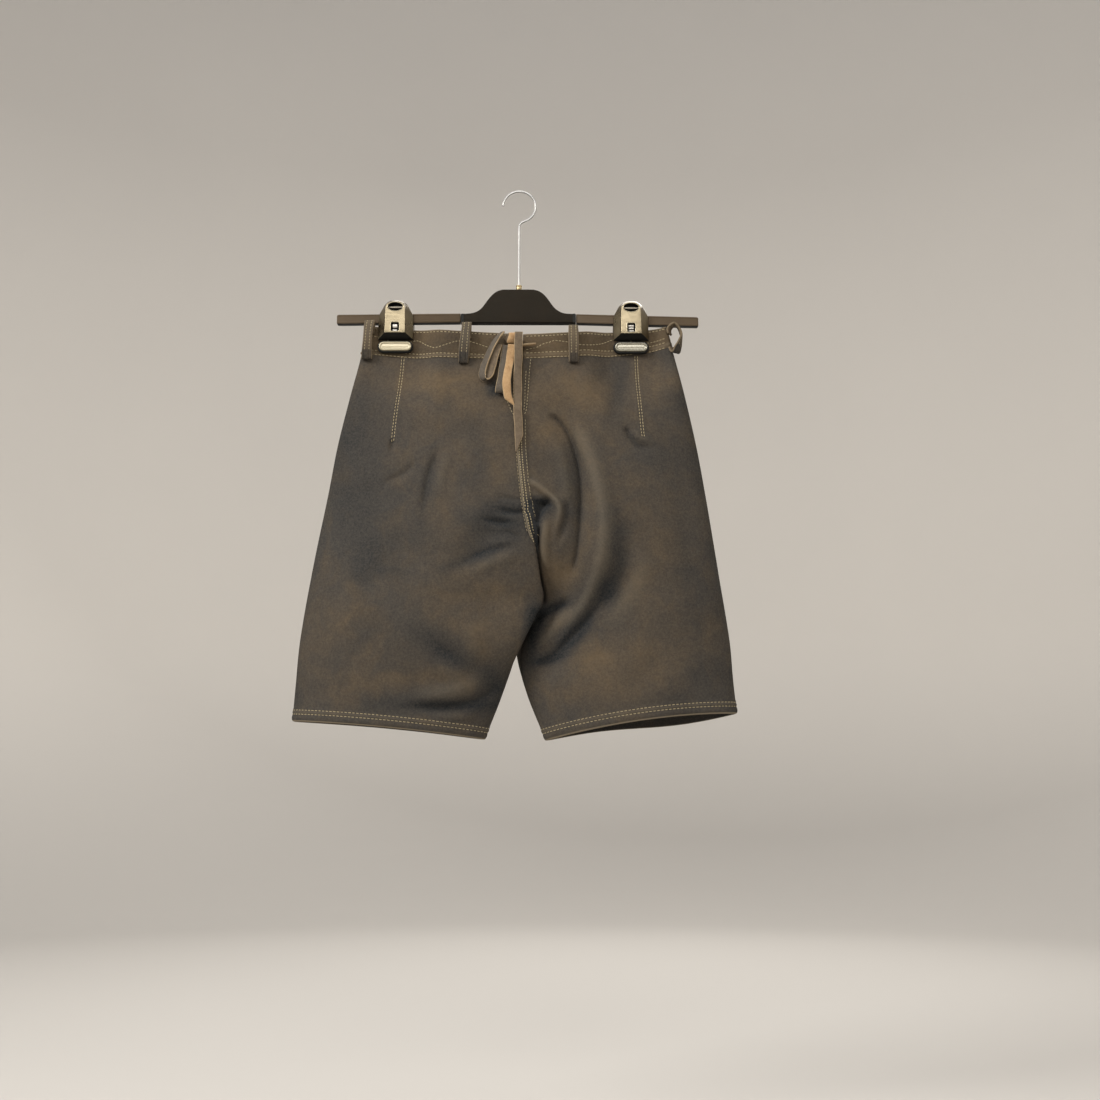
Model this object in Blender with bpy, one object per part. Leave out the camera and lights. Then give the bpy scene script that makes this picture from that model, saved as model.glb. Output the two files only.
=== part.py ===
"""Short leather lederhosen on a clip hanger, seen from the seat side along +Y.

Lengths are written in millimetres and scaled to metres as each mesh is made. +X is the viewer's right,
+Y points from the seat to the garment's front, +Z is up. The origin is where a rail bears in the hook.
"""

import math

import bmesh
import bpy
from mathutils import Vector

MM = 0.001
GAP = 0.3
HALF_GAP = GAP / 2

# ---- driving dimensions of the garment ----
LEATHER = 2.0
BAND_LEATHER = 2.2
HEM_LEATHER = 3.8
HEM_HEIGHT_ROWS = 0.16
SLIT_DEPTH = 62.0
SLIT_GAP = 1.4
ACROSS = 15
DOWN_TO_CROTCH = 18
DOWN_THE_LEG = 10
BAND_ACROSS = 34
BAND_DOWN = 3
ROLL_REACH = 0.42
TUCK_SOFTNESS = 8.0
SIDE_SWING = 6
LEG_CLEARANCE = 1.8
CROTCH_EASE = 1.8

# One row per section, from the waistband's top edge to the hem. The side edge and the inner edge (centre
# seam, then inseam) each have a height and a place; leg is 0 for the one wide ring round the hips and 1
# for a closed ring of its own; depth is the ring's fullness to the back and to the front; bow lifts the
# middle of the row; roll swings the inner thigh past its seam, and tuck is the share of the row that stays
# down at the seam's depth before it rises, where the other leg's roll covers it.
COLUMNS = (
    "z_side", "x_side", "z_in", "x_in", "y_in", "y_side", "leg",
    "depth_back", "depth_front", "bow_back", "bow_front", "sway_front", "roll", "tuck",
)
SECTIONS = {
    "left": (
        # z_side x_side z_in  x_in y_in y_side leg  back front bow_b bow_f sway roll tuck
        (-157.5, -169, -171.2, 4.5, 0, 0, 0.0, 13, 11, -1, -1, 0, 0, 0),
        (-188, -172.4, -199.2, 4.5, 0, 0, 0.0, 15, 12, -2.4, -2.4, 0, 0, 0),
        (-239, -184, -245, 5, 0, 1, 0.0, 24, 20, 0, 0, 0, 0, 0),
        (-294, -196, -300, 5, 0, 2, 0.0, 32, 27, 0, 0, 0, 0, 0),
        (-349, -205, -354, 10, 0, 3, 0.0, 37, 31, 0, 0, 0, 0, 0),
        (-404, -215, -404, 17, 2, 4, 0.15, 40, 33, 0, 0, 0, 14, 0),
        (-446, -222, -444, 13, 1, 5, 0.6, 42, 33, 0, 0, 0, 29, 0),
        (-480, -227, -468, 5, 0, 5, 1.0, 42, 31, 0, 0, 0, 40, 0),
        (-514, -231, -512, 1.5, -8, 4, 1.0, 40, 31, 0, 0, 0, 21, 0),
        (-553, -233, -560, -13.5, -5, 2, 1.0, 36, 31, 0, 0, 0, 3, 0),
        (-591, -235, -610, -33, -2, 0, 1.0, 31, 31, 2, 3, 0, 0, 0),
    ),
    "right": (
        (-161, 161.5, -171.2, 4.5, 0, -14, 0.0, 13, 10, -0.6, -0.6, 0, 0, 0),
        (-184.5, 167, -199.2, 4.5, 0, -12, 0.0, 15, 12, -2.6, -2.6, 0, 0, 0),
        (-236, 180.3, -245, 5, 0, -4, 0.0, 24, 20, -3, -3, 0, 0, 0),
        (-294, 193, -300, 5, 0, 2, 0.0, 32, 27, 0, 0, 0, 0, 0),
        (-349, 202, -354, 10, 0, 3, 0.0, 37, 31, 0, 0, 0, 0, 0),
        (-404, 210, -404, 17, 2, 4, 0.15, 40, 33, 0, 0, 0, 0, 0.03),
        (-446, 216, -444, 13, 1, 5, 0.6, 40, 33, 0, 0, 0, 0, 0.09),
        (-480, 221, -468, 5, 0, 5, 1.0, 39, 34, 0, 0, 0, 0, 0.1),
        (-512, 225, -512, -3, 13, 4, 1.0, 38, 34, 0, 0, 0, 0, 0.03),
        (-548, 227, -560, 8.5, 7, 2, 1.0, 35, 33, 2, 0, 0, 0, 0),
        (-583, 230, -611, 29, 2, 0, 1.0, 31, 32, 6, 0.2, 2.4, 0, 0),
    ),
}
BAND_TOP_ROW = 0
BAND_SEAM_ROW = 1
CROTCH_ROW = 7
HEM_ROW = 10

# The deepest folds of the seat, as troughs (negative) and ridges along a line of three points.
FOLD_STEPS = 10
BACK_FOLDS = (
    # start       middle      end     width height
    ((36, -262), (66, -345), (52, -452), 13, -9),
    ((62, -300), (86, -400), (56, -498), 20, 7),
    ((118, -430), (110, -465), (84, -500), 26, -6),
    ((-66, -432), (-38, -408), (-6, -378), 16, -6),
    ((-112, -440), (-84, -470), (-60, -520), 24, 5),
)
FRONT_FOLDS = (
    ((-30, -290), (-70, -360), (-62, -470), 18, -7),
    ((40, -300), (72, -380), (66, -480), 20, -7),
)

# ---- driving dimensions of what is sewn on ----
LOOP_WIDTH = 11.4
LOOP_LEATHER = 2.4
LOOP_STEPS = 26
LEAN_OUT = 3.0
# Each loop's place is its share of the way from the centre to the side, at its top and at its foot. Rise is
# how far it stands above the waistband's top edge, turn how far it faces round to that side, and twist how
# much less its sewn ends do.
LOOPS = {
    # side, face, top_share, foot_share, bulge, rise, turn, twist
    "side_left": ("left", "back", 0.968, 0.962, 7.2, 3.6, 5, 0),
    "back_left": ("left", "back", 0.352, 0.359, 8.0, 7.0, 2, 0),
    "back_right": ("right", "back", 0.351, 0.341, 8.0, 4.5, 2, 0),
    "side_right": ("right", "back", 1.0, 0.995, 12.2, 2.0, 84, 44),
    "front_left": ("left", "front", 0.362, 0.361, 7.6, 5.2, 4, 0),
    "front_right": ("right", "front", 0.362, 0.361, 7.6, 5.2, 4, 0),
}
# The loop's line from its top end round to its foot: out is a share of the bulge, above the waistband's
# face; up is in shares of the rise above the waistband's top edge, and in millimetres elsewhere.
LOOP_LINE = (
    # out, from, up, twist
    (0.0, "top", -9.0, 0.5), (0.0, "top", -5.0, 0.5), (0.14, "top", -1.9, 0.45), (0.4, "rise", 0.35, 0.35),
    (0.68, "rise", 1.0, 0.2), (0.93, "top", -2.0, 0.05), (1.0, "top", -11.0, 0.0), (0.76, "seam", 3.0, 0.45),
    (0.46, "seam", -4.5, 0.9), (0.2, "seam", -7.6, 1.0), (0.02, "seam", -6.0, 1.0), (0.0, "seam", -1.5, 1.0),
)

LACE_WIDTH = 9.0
LACE_LEATHER = 1.8
LACE_STEP = 4.0
# Each lace's line, and the way its width points: to +X at 0 degrees, towards the viewer at 90.
LACES = {
    # x, y, z, turn
    "loop_near": (
        (-17, -23, -172, 55), (-23, -25, -180, 45), (-30, -26, -193, 40), (-36, -27, -209, 35),
        (-38.5, -28, -221, 32), (-35, -28.5, -226, 30), (-30.5, -28, -221, 25), (-27.5, -27, -209, 15),
        (-24.5, -25.5, -196, 8), (-22, -24, -186, 5),
    ),
    "loop_far": (
        (-13, -23.2, -187, 0), (-14.5, -23.4, -200, 0), (-16.7, -26.3, -216, 0), (-19, -29.8, -233, 0),
        (-19.8, -30.8, -239, 0), (-19.8, -28.6, -241.5, 0), (-19.2, -26.4, -235, 0), (-16.8, -22.4, -217, 0),
        (-15, -19.5, -203, 0),
    ),
    "tail_short": (
        (-6.6, -25.8, -187, 8), (-8.2, -26.0, -200, 5), (-10.1, -28.4, -213, 0), (-12, -31.5, -227, 0),
        (-11.7, -33.4, -241, -5), (-9.6, -33.4, -251, -8), (-7.4, -33, -259, -10),
    ),
    "tail_long": (
        (0.6, -29.5, -174, 0), (0.5, -30, -182, 0), (0.3, -29.5, -195, 0), (0.1, -28.5, -210, 0),
        (-0.2, -28.8, -228, 0), (-0.4, -31, -249, 0), (0.6, -35.4, -276, 0), (2.4, -39, -309, 0),
    ),
}
LACE_TIPS = {"tail_short": 14.0, "tail_long": 22.0}
CROSS_LACE = ((-1.5, -20.2, -186.5, 60), (8, -20.5, -185.5, 62), (19, -20, -184.0, 64))
CROSS_WIDTH = 5.0
KNOT_CENTRE = (-9.0, -22.5, -178.5)
KNOT_SIZE = (14.0, 7.0, 13.0)

PLACKET_ROWS = (1.12, 4.3)
PLACKET_SHARES = (0.03, 0.17)
TAB_SHARES = {"left": (0.155, 0.012), "right": (0.012, 0.13)}
TAB_ROWS = (0.12, 0.88)
BUTTON_RADIUS = 8.5
BUTTON_THICKNESS = 3.2

# ---- driving dimensions of the hanger ----
HOOK_RADIUS = 18.3
HOOK_BEND = 7.0
HOOK_SWEEP = 250.0
HOOK_STEPS = 24
WIRE = 2.6
STEM_FOOT = -110.2
FERRULE_RADIUS = 3.4
FERRULE_FOOT = -115.9
BODY_DEPTH = 10.0
BODY_OUTLINE = (
    (-64, -154.7), (63, -154.7), (63, -144.4), (55, -144.2), (48.8, -143.3), (43.5, -140.7), (38.5, -136.3),
    (32.8, -128.2), (28.2, -122.4), (23.2, -118.5), (17.8, -116.6), (13.4, -116.1), (-15.4, -116.1),
    (-20.0, -116.7), (-25.2, -118.8), (-30.0, -122.8), (-34.5, -128.4), (-40.5, -136.8), (-45.0, -140.8),
    (-50.6, -143.2), (-58.0, -144.1), (-64, -144.2),
)
RAIL_HEIGHT = 10.8
RAIL_DEPTH = 9.0
RAILS = {"left": (-64.3, -149.0, -201, -150.5), "right": (63.3, -149.8, 198.2, -153.3)}
CLIPS = {"left": -135.4, "right": 123.5}
CLIP_TOP = {"left": -127.0, "right": -128.0}
# Half outlines of a clip cover, from the top down its right side, from the clip's middle and top.
COVER_BASE = (
    (3.4, -2.3), (6.8, -2.9), (9.6, -4.4), (12.8, -7.8), (15.6, -13.0), (18.3, -18.2), (19.3, -22.8),
    (19.5, -32.1), (19.4, -43.6), (19.7, -48.0),
)
COVER_FACE = (
    (3.4, -6.9), (6.2, -7.6), (8.8, -9.4), (10.4, -12.3), (10.7, -15.7), (10.8, -19.2), (10.9, -24.0),
    (11.0, -30.4), (11.1, -38.0), (11.3, -42.7),
)
COVER_BASE_Y = 4.9
COVER_FACE_Y = 15.0
COVER_HOLES = {"eye": (-12.7, 16.8, 9.8, 24), "window": (-35.8, 9.0, 10.2, 4)}
HOLE_DEPTH = 6.0
PAD_WIDTH = 39.6
PAD_HEIGHT = 14.0
PAD_Z = -56.4
PAD_INNER_Y = 3.1
PAD_OUTER_Y = 10.5
PINCH_FLAT = 20.5
PINCH_REACH = 52.0
PINCH_Y = 1.6
PINCH_END = -262.0

SLOTS = {
    "leather": ((0.085, 0.072, 0.056), 0.85, 0.0),
    "band_leather": ((0.09, 0.07, 0.05), 0.8, 0.0),
    "lace_leather": ((0.13, 0.11, 0.09), 0.8, 0.0),
    "black_plastic": ((0.018, 0.016, 0.015), 0.35, 0.0),
    "rail_plastic": ((0.045, 0.038, 0.033), 0.5, 0.0),
    "clip_shell": ((0.03, 0.027, 0.024), 0.22, 0.5),
    "pad": ((0.42, 0.38, 0.32), 0.25, 0.0),
    "steel": ((0.55, 0.55, 0.56), 0.3, 1.0),
    "brass": ((0.5, 0.4, 0.24), 0.35, 1.0),
    "horn": ((0.12, 0.08, 0.05), 0.3, 0.0),
}


def clear_scene():
    for obj in list(bpy.data.objects):
        bpy.data.objects.remove(obj, do_unlink=True)


def material(slot):
    found = bpy.data.materials.get(slot)
    if found:
        return found
    color, roughness, metallic = SLOTS[slot]
    made = bpy.data.materials.new(slot)
    made.use_nodes = True
    shader = made.node_tree.nodes["Principled BSDF"]
    shader.inputs["Base Color"].default_value = (*color, 1.0)
    shader.inputs["Roughness"].default_value = roughness
    shader.inputs["Metallic"].default_value = metallic
    return made


def add_object(name, mesh, slot, smooth=True):
    obj = bpy.data.objects.new(name, mesh)
    bpy.context.scene.collection.objects.link(obj)
    mesh.materials.append(material(slot))
    if smooth:
        mesh.shade_smooth()
        mesh.set_sharp_from_angle(angle=math.radians(40))
    return obj


def mesh_of(name, points, faces):
    """A mesh from points in millimetres, its faces turned to point outwards."""
    mesh = bpy.data.meshes.new(name)
    mesh.from_pydata([tuple(c * MM for c in p) for p in points], [], faces)
    work = bmesh.new()
    work.from_mesh(mesh)
    bmesh.ops.recalc_face_normals(work, faces=work.faces)
    work.to_mesh(mesh)
    work.free()
    return mesh


# ---- the garment's surface ----

def smoothstep(low, high, value):
    t = min(1.0, max(0.0, (value - low) / (high - low)))
    return t * t * (3 - 2 * t)


def section(side, row):
    """The section table read at a fractional row, with a Catmull-Rom curve through each column."""
    table = SECTIONS[side]
    i = min(len(table) - 2, max(0, int(row)))
    t = row - i
    before = table[max(0, i - 1)]
    after = table[min(len(table) - 1, i + 2)]
    out = {}
    for name, a, b, c, d in zip(COLUMNS, before, table[i], table[i + 1], after):
        if i == 0:
            a = 2 * b - c
        if i == len(table) - 2:
            d = 2 * c - b
        cubic = (-a + 3 * b - 3 * c + d) * t ** 3 + (2 * a - 5 * b + 4 * c - d) * t ** 2
        out[name] = 0.5 * (cubic + (c - a) * t) + b
    out["leg"] = min(1.0, max(0.0, out["leg"]))
    out["roll"] = max(0.0, out["roll"])
    out["tuck"] = max(0.0, out["tuck"])
    return out


def bend_line(start, middle, end):
    """Points of the quadratic curve that passes through three points."""
    line = []
    for step in range(FOLD_STEPS + 1):
        t = step / FOLD_STEPS
        shares = ((1 - t) * (1 - 2 * t), 4 * t * (1 - t), t * (2 * t - 1))
        line.append(tuple(sum(w * p[k] for w, p in zip(shares, (start, middle, end))) for k in (0, 1)))
    return line


FOLDS = {
    face: [(bend_line(*fold[:3]), fold[3], fold[4]) for fold in folds]
    for face, folds in (("back", BACK_FOLDS), ("front", FRONT_FOLDS))
}


def fold_height(face, x, z):
    """What the folds add at (x, z), fading out along each line's two ends."""
    total = 0.0
    for line, width, height in FOLDS[face]:
        best = 1e9
        along = 0.0
        for k, ((ax, az), (bx, bz)) in enumerate(zip(line, line[1:])):
            dx, dz = bx - ax, bz - az
            t = min(1.0, max(0.0, ((x - ax) * dx + (z - az) * dz) / (dx * dx + dz * dz)))
            distance = math.hypot(x - ax - t * dx, z - az - t * dz)
            if distance < best:
                best = distance
                along = (k + t) / FOLD_STEPS
        fade = math.sin(math.pi * min(1.0, max(0.0, 0.08 + 0.84 * along)))
        total += height * fade * math.exp(-((best / width) ** 2))
    return total


def pinch(x, z):
    """1 where a clip's jaws press the two layers together, 0 away from them."""
    fade = 1.0 - smoothstep(-192.0, PINCH_END, z)
    near = 1.0 - smoothstep(PINCH_FLAT, PINCH_REACH, min(abs(x - c) for c in CLIPS.values()))
    return fade * near


def surface_point(side, face, row, u):
    """The middle of the leather at one place: u runs from the inner edge (0) to the side seam (1)."""
    s = section(side, row)
    back = face == "back"
    t = 0.5 - 0.5 * math.cos(math.pi * u)
    rise_out = math.sqrt(max(0.0, 1 - t * t))
    tuck = s["tuck"] if back else 0.0
    risen = max(0.0, (t - tuck) / (1 - tuck))
    rise_in = math.sqrt(max(0.0, 1 - (1 - risen) ** 2)) ** (1 + TUCK_SOFTNESS * tuck)
    depth = s["depth_back"] if back else s["depth_front"]
    fullness = depth * rise_out * ((1 - s["leg"]) + s["leg"] * 1.33 * rise_in)
    y = (-fullness if back else fullness) + s["y_side"] * t ** SIDE_SWING
    y += s["y_in"] * s["leg"] * (1 - t * t) ** 2
    apart = LEG_CLEARANCE * smoothstep(CROTCH_ROW, CROTCH_ROW + 0.35, row)
    x_in = s["x_in"] + (-apart if side == "left" else apart)
    x = x_in + (s["x_side"] - x_in) * t
    bow = s["bow_back"] if back else s["bow_front"]
    z = s["z_in"] + (s["z_side"] - s["z_in"]) * t + bow * 4 * t * (1 - t)
    z += 0 if back else s["sway_front"] * math.sin(2 * math.pi * t)
    if back:
        x += s["roll"] * math.sin(math.pi * min(1.0, u / ROLL_REACH)) ** 2
    edge = min(1.0, 6 * t, 6 * (1 - t))
    lift = fold_height(face, x, z) * edge * smoothstep(BAND_SEAM_ROW, BAND_SEAM_ROW + 1, row)
    y += -lift if back else lift
    press = pinch(x, z)
    held = -PINCH_Y if back else PINCH_Y
    y = y * (1 - press) + held * press * min(1.0, 2.5 * rise_out)
    return Vector((x, y, z))


def grid_of(side, face, rows, us):
    return [[surface_point(side, face, row, u) for u in us] for row in rows]


def spread(count, low, high):
    return [low + (high - low) * k / (count - 1) for k in range(count)]


def outward(side, face):
    """The sign that turns a grid's normals out of the garment, for columns that run out to the side."""
    return (1 if side == "left" else -1) * (1 if face == "back" else -1)


def grid_normals(grid, sign):
    """Unit normals of a grid of points, all turned to one side."""
    rows, cols = len(grid), len(grid[0])
    out = []
    for i in range(rows):
        line = []
        for j in range(cols):
            down = grid[min(rows - 1, i + 1)][j] - grid[max(0, i - 1)][j]
            across = grid[i][min(cols - 1, j + 1)] - grid[i][max(0, j - 1)]
            line.append(sign * across.cross(down).normalized())
        out.append(line)
    return out


def wall_mesh(name, grid, normals, outer, inner):
    """A closed wall round a grid: outer and inner give each row's offsets along the normals."""
    rows, cols = len(grid), len(grid[0])
    points = [grid[i][j] + normals[i][j] * outer[i] for i in range(rows) for j in range(cols)]
    points += [grid[i][j] - normals[i][j] * inner[i] for i in range(rows) for j in range(cols)]
    back = rows * cols

    def at(i, j):
        return i * cols + j

    faces = []
    for i in range(rows - 1):
        for j in range(cols - 1):
            quad = [at(i, j), at(i, j + 1), at(i + 1, j + 1), at(i + 1, j)]
            faces.append(quad)
            faces.append([back + k for k in reversed(quad)])
    rim = [at(0, j) for j in range(cols)]
    rim += [at(i, cols - 1) for i in range(1, rows)]
    rim += [at(rows - 1, j) for j in range(cols - 2, -1, -1)]
    rim += [at(i, 0) for i in range(rows - 2, 0, -1)]
    for k, a in enumerate(rim):
        b = rim[(k + 1) % len(rim)]
        faces.append([a, back + a, back + b, b])
    return mesh_of(name, points, faces)


def panels():
    """The four panels, their edges mitred where they meet and set apart by the seam gap."""
    rows = spread(DOWN_TO_CROTCH, BAND_SEAM_ROW, CROTCH_ROW)[:-1]
    rows += spread(DOWN_THE_LEG, CROTCH_ROW, HEM_ROW)
    us = spread(ACROSS, 0.0, 1.0)
    grids = {}
    normals = {}
    for key in (("left", "back"), ("left", "front"), ("right", "back"), ("right", "front")):
        grids[key] = grid_of(*key, rows, us)
        normals[key] = grid_normals(grids[key], outward(*key))
    for i, row in enumerate(rows):
        for side in ("left", "right"):
            mitre(normals, [(side, "back"), (side, "front")], i, len(us) - 1)
        if row < CROTCH_ROW - 0.2:
            for face in ("back", "front"):
                mitre(normals, [("left", face), ("right", face)], i, 0)
        elif row > CROTCH_ROW + 0.2:
            for side in ("left", "right"):
                mitre(normals, [(side, "back"), (side, "front")], i, 0)
        else:
            mitre(normals, list(grids), i, 0)
    hem_start = HEM_ROW - HEM_HEIGHT_ROWS - 0.3
    outer = [LEATHER / 2] * len(rows)
    inner = [LEATHER / 2 if r < hem_start else HEM_LEATHER - LEATHER / 2 for r in rows]
    for (side, face), grid in grids.items():
        for i, row in enumerate(rows):
            line = grid[i]
            slit = 0.0
            if face == "back":
                slit = SLIT_GAP / 2 * max(0.0, 1 - (grid[0][0].z - line[0].z) / SLIT_DEPTH)
            ease = CROTCH_EASE * max(0.0, 1 - abs(row - CROTCH_ROW) / 1.2)
            line[0] = line[0] + (line[1] - line[0]).normalized() * (HALF_GAP + slit + ease)
            line[-1] = line[-1] + (line[-2] - line[-1]).normalized() * HALF_GAP
        for j, point in enumerate(grid[0]):
            grid[0][j] = point + (grid[1][j] - point).normalized() * GAP
        name = f"{face}_{side}"
        add_object(name, wall_mesh(name, grid, normals[(side, face)], outer, inner), "leather")


def mitre(normals, keys, i, j):
    total = Vector((0, 0, 0))
    for key in keys:
        total = total + normals[key][i][j]
    if total.length < 0.3:
        total = Vector((0, 0, -1))
    for key in keys:
        normals[key][i][j] = total.normalized()


def band_ring(side):
    """One half of the waistband as a grid that runs from the centre back round the side to the front."""
    rows = spread(BAND_DOWN, BAND_TOP_ROW, BAND_SEAM_ROW)
    us = spread(BAND_ACROSS, 0.0, 1.0)
    back = grid_of(side, "back", rows, us)
    front = grid_of(side, "front", rows, us)
    return [b + list(reversed(f[:-1])) for b, f in zip(back, front)]


def waistbands():
    for side in ("left", "right"):
        grid = band_ring(side)
        normals = grid_normals(grid, outward(side, "back"))
        for line in grid:
            line[0] = line[0] + (line[1] - line[0]).normalized() * (HALF_GAP + SLIT_GAP / 2)
            line[-1] = line[-1] + (line[-2] - line[-1]).normalized() * HALF_GAP
        offsets = [BAND_LEATHER / 2] * len(grid)
        name = f"waistband_{side}"
        add_object(name, wall_mesh(name, grid, normals, offsets, offsets), "band_leather")


# ---- what is sewn on ----

def share_to_u(share):
    return math.acos(1 - 2 * share) / math.pi


def smooth_line(points, step):
    """Points about a step apart along a Catmull-Rom curve through hand-placed rows of numbers."""
    out = []
    for i in range(len(points) - 1):
        b, c = points[i], points[i + 1]
        a = points[i - 1] if i > 0 else [2 * p - q for p, q in zip(b, c)]
        d = points[i + 2] if i + 2 < len(points) else [2 * q - p for p, q in zip(b, c)]
        length = math.dist(b[:3], c[:3])
        count = max(1, round(length / step))
        for k in range(count):
            t = k / count
            row = []
            for pa, pb, pc, pd in zip(a, b, c, d):
                cubic = (-pa + 3 * pb - 3 * pc + pd) * t ** 3 + (2 * pa - 5 * pb + 4 * pc - pd) * t ** 2
                row.append(0.5 * (cubic + (pc - pa) * t) + pb)
            out.append(row)
    out.append(list(points[-1]))
    return out


def strip_mesh(name, line, width_ways, widths, thickness):
    """A flat strip along a line: width_ways gives the direction its width points at each point."""
    rings = []
    count = len(line)
    for i in range(count):
        along = (line[min(count - 1, i + 1)] - line[max(0, i - 1)]).normalized()
        wide = width_ways[i] - along * width_ways[i].dot(along)
        wide.normalize()
        thick = along.cross(wide).normalized() * (thickness / 2)
        wide = wide * (widths[i] / 2)
        rings.append([line[i] + wide + thick, line[i] - wide + thick,
                      line[i] - wide - thick, line[i] + wide - thick])
    points = [p for ring in rings for p in ring]
    faces = []
    for i in range(count - 1):
        for k in range(4):
            a, b = 4 * i + k, 4 * i + (k + 1) % 4
            faces.append([a, b, b + 4, a + 4])
    faces.append([0, 3, 2, 1])
    last = 4 * (count - 1)
    faces.append([last, last + 1, last + 2, last + 3])
    return mesh_of(name, points, faces)


def loop_way(side, face, turn):
    """The level way out that a loop faces."""
    angle = math.radians(turn)
    x = math.sin(angle) if side == "right" else -math.sin(angle)
    return Vector((x, -math.cos(angle) if face == "back" else math.cos(angle), 0))


def belt_loops():
    for name, (side, face, top_share, foot_share, bulge, rise, turn, twist) in LOOPS.items():
        top = surface_point(side, face, BAND_TOP_ROW, share_to_u(top_share))
        foot = surface_point(side, face, BAND_SEAM_ROW, share_to_u(foot_share))
        clear = BAND_LEATHER / 2 + LOOP_LEATHER / 2 + GAP
        knots = []
        for share, part, up, twisted in LOOP_LINE:
            z = foot.z + up if part == "seam" else top.z + (rise * up if part == "rise" else up)
            down = (top.z - z) / (top.z - foot.z)
            facing = turn - twist * twisted
            reach = clear + share * bulge + LEAN_OUT * max(0.0, down - 1)
            place = top + (foot - top) * down + loop_way(side, face, facing) * reach
            knots.append((place.x, place.y, z, facing))
        sampled = smooth_line(knots, 62 / LOOP_STEPS)
        line = [Vector(row[:3]) for row in sampled]
        ways = [Vector((0, 0, 1)).cross(loop_way(side, face, row[3])) for row in sampled]
        mesh = strip_mesh(f"belt_loop_{name}", line, ways, [LOOP_WIDTH] * len(line), LOOP_LEATHER)
        add_object(f"belt_loop_{name}", mesh, "leather")


def lace_strip(name, rows, width, tip=0.0):
    """A flat lace along its rows, cut to a blunt point over the last tip millimetres."""
    sampled = smooth_line(rows, LACE_STEP)
    line = [Vector(row[:3]) for row in sampled]
    turns = [math.radians(row[3]) for row in sampled]
    ways = [Vector((math.cos(a), -math.sin(a), 0)) for a in turns]
    left = [0.0] * len(line)
    for i in range(len(line) - 2, -1, -1):
        left[i] = left[i + 1] + (line[i + 1] - line[i]).length
    widths = [width * (min(1.0, 0.3 + 0.7 * r / tip) if tip else 1.0) for r in left]
    add_object(name, strip_mesh(name, line, ways, widths, LACE_LEATHER), "lace_leather")


def box_mesh(name, centre, size, bevel, segments=2):
    mesh = bpy.data.meshes.new(name)
    work = bmesh.new()
    bmesh.ops.create_cube(work, size=1.0)
    for vertex in work.verts:
        vertex.co = Vector([(c + k * s) * MM for c, k, s in zip(centre, vertex.co, size)])
    bmesh.ops.bevel(work, geom=work.edges[:], offset=bevel * MM, segments=segments, affect="EDGES")
    work.to_mesh(mesh)
    work.free()
    return mesh


def laces():
    for name, rows in LACES.items():
        lace_strip(f"lace_{name}", rows, LACE_WIDTH, LACE_TIPS.get(name, 0.0))
    lace_strip("lace_cross", CROSS_LACE, CROSS_WIDTH)
    knot = box_mesh("lace_knot", KNOT_CENTRE, KNOT_SIZE, 2.2)
    add_object("lace_knot", knot, "lace_leather")


def outward_grid(side, face, rows, us, distance):
    """Points of a panel or a waistband moved straight out by a distance."""
    grid = grid_of(side, face, rows, us)
    sign = outward(side, face) * (1 if us[-1] > us[0] else -1)
    normals = grid_normals(grid, sign)
    moved = [[p + n * distance for p, n in zip(a, b)] for a, b in zip(grid, normals)]
    return moved, normals


def front_closure():
    half = LEATHER / 2
    us = [share_to_u(k) for k in spread(5, *PLACKET_SHARES)]
    rows = spread(12, *PLACKET_ROWS)
    grid, normals = outward_grid("left", "front", rows, us, half + GAP + half)
    name = "fly_placket"
    add_object(name, wall_mesh(name, grid, normals, [half] * 12, [half] * 12), "leather")

    rows = spread(3, *TAB_ROWS)
    lift = BAND_LEATHER / 2 + 2 * GAP + half
    left, left_normals = outward_grid(
        "left", "front", rows, [share_to_u(k) for k in spread(4, *TAB_SHARES["left"])], lift)
    right, right_normals = outward_grid(
        "right", "front", rows, [share_to_u(k) for k in spread(4, *TAB_SHARES["right"])], lift)
    grid = [a + b for a, b in zip(left, right)]
    normals = [a + b for a, b in zip(left_normals, right_normals)]
    name = "waist_tab"
    add_object(name, wall_mesh(name, grid, normals, [half] * 3, [half] * 3), "band_leather")

    face_y = max(p.y for line in grid for p in line) + half + GAP
    centre = (grid[1][3] + grid[1][4]) / 2
    disc = bpy.data.meshes.new("waist_button")
    work = bmesh.new()
    bmesh.ops.create_cone(work, cap_ends=True, segments=28, radius1=BUTTON_RADIUS * MM,
                          radius2=BUTTON_RADIUS * MM, depth=BUTTON_THICKNESS * MM)
    rim = [e for e in work.edges if len(e.link_faces) == 2 and e.calc_face_angle() > 1.0]
    bmesh.ops.bevel(work, geom=rim, offset=0.8 * MM, segments=2, affect="EDGES")
    for vertex in work.verts:
        x, y, z = vertex.co
        vertex.co = (x + centre.x * MM, -z + (face_y + BUTTON_THICKNESS / 2) * MM, y + centre.z * MM)
    work.to_mesh(disc)
    work.free()
    add_object("waist_button", disc, "horn")


# ---- the hanger ----

def prism(name, outline, y_low, y_high):
    """An outline in X and Z made solid between two depths."""
    count = len(outline)
    points = [(x, y_low, z) for x, z in outline] + [(x, y_high, z) for x, z in outline]
    faces = [list(range(count)), list(range(2 * count - 1, count - 1, -1))]
    faces += [[k, count + k, count + (k + 1) % count, (k + 1) % count] for k in range(count)]
    return mesh_of(name, points, faces)


def bevel_all(obj, width, segments=2):
    bevel = obj.modifiers.new("bevel", "BEVEL")
    bevel.width = width * MM
    bevel.segments = segments
    bevel.limit_method = "ANGLE"
    bevel.angle_limit = math.radians(25)


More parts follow.
